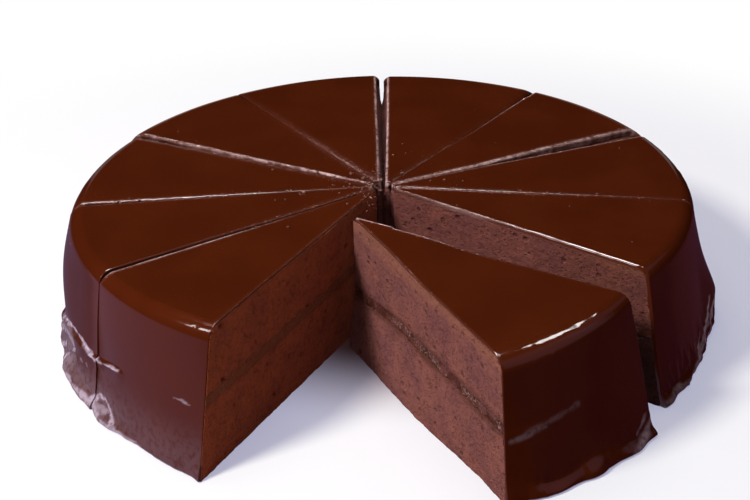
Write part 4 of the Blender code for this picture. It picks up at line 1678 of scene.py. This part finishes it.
def floor_material(settings):
    """A dull pale floor with a painted glow away from the cake, painted shade between the slices, and plain
    white further out.
    """
    material, tree, shader = new_material("Pale floor")
    place = object_place(tree)
    grain = linked(tree, "ShaderNodeTexNoise", Vector=place, Scale=FLOOR_GRAIN, Detail=3.0)
    tone = mixed(tree, grain.outputs["Fac"], [c * GRAIN_TONE for c in settings.floor], settings.floor)
    away = linked(tree, "ShaderNodeVectorMath", "LENGTH", i0=place)
    under = ranged(tree, away.outputs["Value"], *FLOOR_UNDER)
    # Painted shade on the floor between the slices
    tone = mixed(tree, under, settings.painted_floor_shade, tone)
    bounced = tree.nodes.new("ShaderNodeLightPath").outputs["Is Diffuse Ray"]
    tree.links.new(mixed(tree, bounced, tone, settings.bounce), shader.inputs["Base Color"])
    # Painted light: the glow is black for bounced rays, so it lights nothing
    glow = mixed(tree, bounced, mixed(tree, under, BLACK, settings.glow), BLACK)
    tree.links.new(glow, shader.inputs["Emission Color"])
    shader.inputs["Emission Strength"].default_value = 1.0
    shader.inputs["Roughness"].default_value = 0.9
    shader.inputs["Specular IOR Level"].default_value = 0.0
    beyond = mixed(tree, bounced, WHITE, settings.bounce)
    white = linked(tree, "ShaderNodeEmission", Color=beyond, Strength=1.0)
    blend = linked(tree, "ShaderNodeMixShader", Fac=ranged(tree, away.outputs["Value"], *FLOOR_SHADOWS))
    tree.links.new(shader.outputs[0], blend.inputs[1])
    tree.links.new(white.outputs[0], blend.inputs[2])
    tree.links.new(blend.outputs[0], tree.nodes["Material Output"].inputs["Surface"])
    return material


def make_floor(settings):
    """A round pale floor. Near the cake it takes the light and shadow, and further out it is plain white."""
    turn = np.arange(FLOOR_STEPS) * 2 * math.pi / FLOOR_STEPS
    points = np.column_stack([polar(turn, FLOOR_REACH), 0 * turn])
    mesh = bpy.data.meshes.new("floor")
    mesh.from_pydata(points.tolist(), [], [list(range(FLOOR_STEPS))])
    mesh.materials.append(floor_material(settings))
    floor = bpy.data.objects.new("floor", mesh)
    bpy.context.scene.collection.objects.link(floor)
    floor.visible_glossy = False


class CAKE_OT_stage(bpy.types.Operator):
    """Set the camera, the soft studio light and the pale floor"""

    bl_idname = "cake.stage"
    bl_label = "Stage"

    def execute(self, context):
        settings = context.scene.cake.stage
        make_camera()
        make_lights(settings)
        make_world(settings)
        make_floor(settings)
        context.scene.view_settings.view_transform = "Standard"
        return {"FINISHED"}


OPERATORS = (
    CAKE_OT_prepare,
    CAKE_OT_icing,
    CAKE_OT_sponge,
    CAKE_OT_jam,
    CAKE_OT_crumbs,
    CAKE_OT_specks,
    CAKE_OT_stage,
)


class CAKE_PT_panel(bpy.types.Panel):
    """Every piece of the cake and its settings"""

    bl_idname = "CAKE_PT_panel"
    bl_label = "Cake"
    bl_space_type = "VIEW_3D"
    bl_region_type = "UI"
    bl_category = "Cake"

    def draw(self, context):
        for operator in OPERATORS:
            self.layout.operator(operator.bl_idname)
        settings = context.scene.cake
        for label in ("icing", "sponge", "jam", "crumbs", "stage"):
            box = self.layout.box()
            box.label(text=label.capitalize())
            group = getattr(settings, label)
            for name in group.__annotations__:
                box.prop(group, name)


CLASSES = (
    IcingSettings,
    SpongeSettings,
    JamSettings,
    CrumbSettings,
    StageSettings,
    CakeSettings,
    *OPERATORS,
    CAKE_PT_panel,
)


def register():
    for cls in CLASSES:
        bpy.utils.register_class(cls)
    bpy.types.Scene.cake = PointerProperty(type=CakeSettings)


def unregister():
    del bpy.types.Scene.cake
    for cls in reversed(CLASSES):
        bpy.utils.unregister_class(cls)


def main():
    """Make the whole cake."""
    register()
    bpy.ops.cake.prepare()
    bpy.ops.cake.icing()
    bpy.ops.cake.sponge()
    bpy.ops.cake.jam()
    bpy.ops.cake.crumbs()
    bpy.ops.cake.specks()
    bpy.ops.cake.stage()


if __name__ == "__main__":
    main()
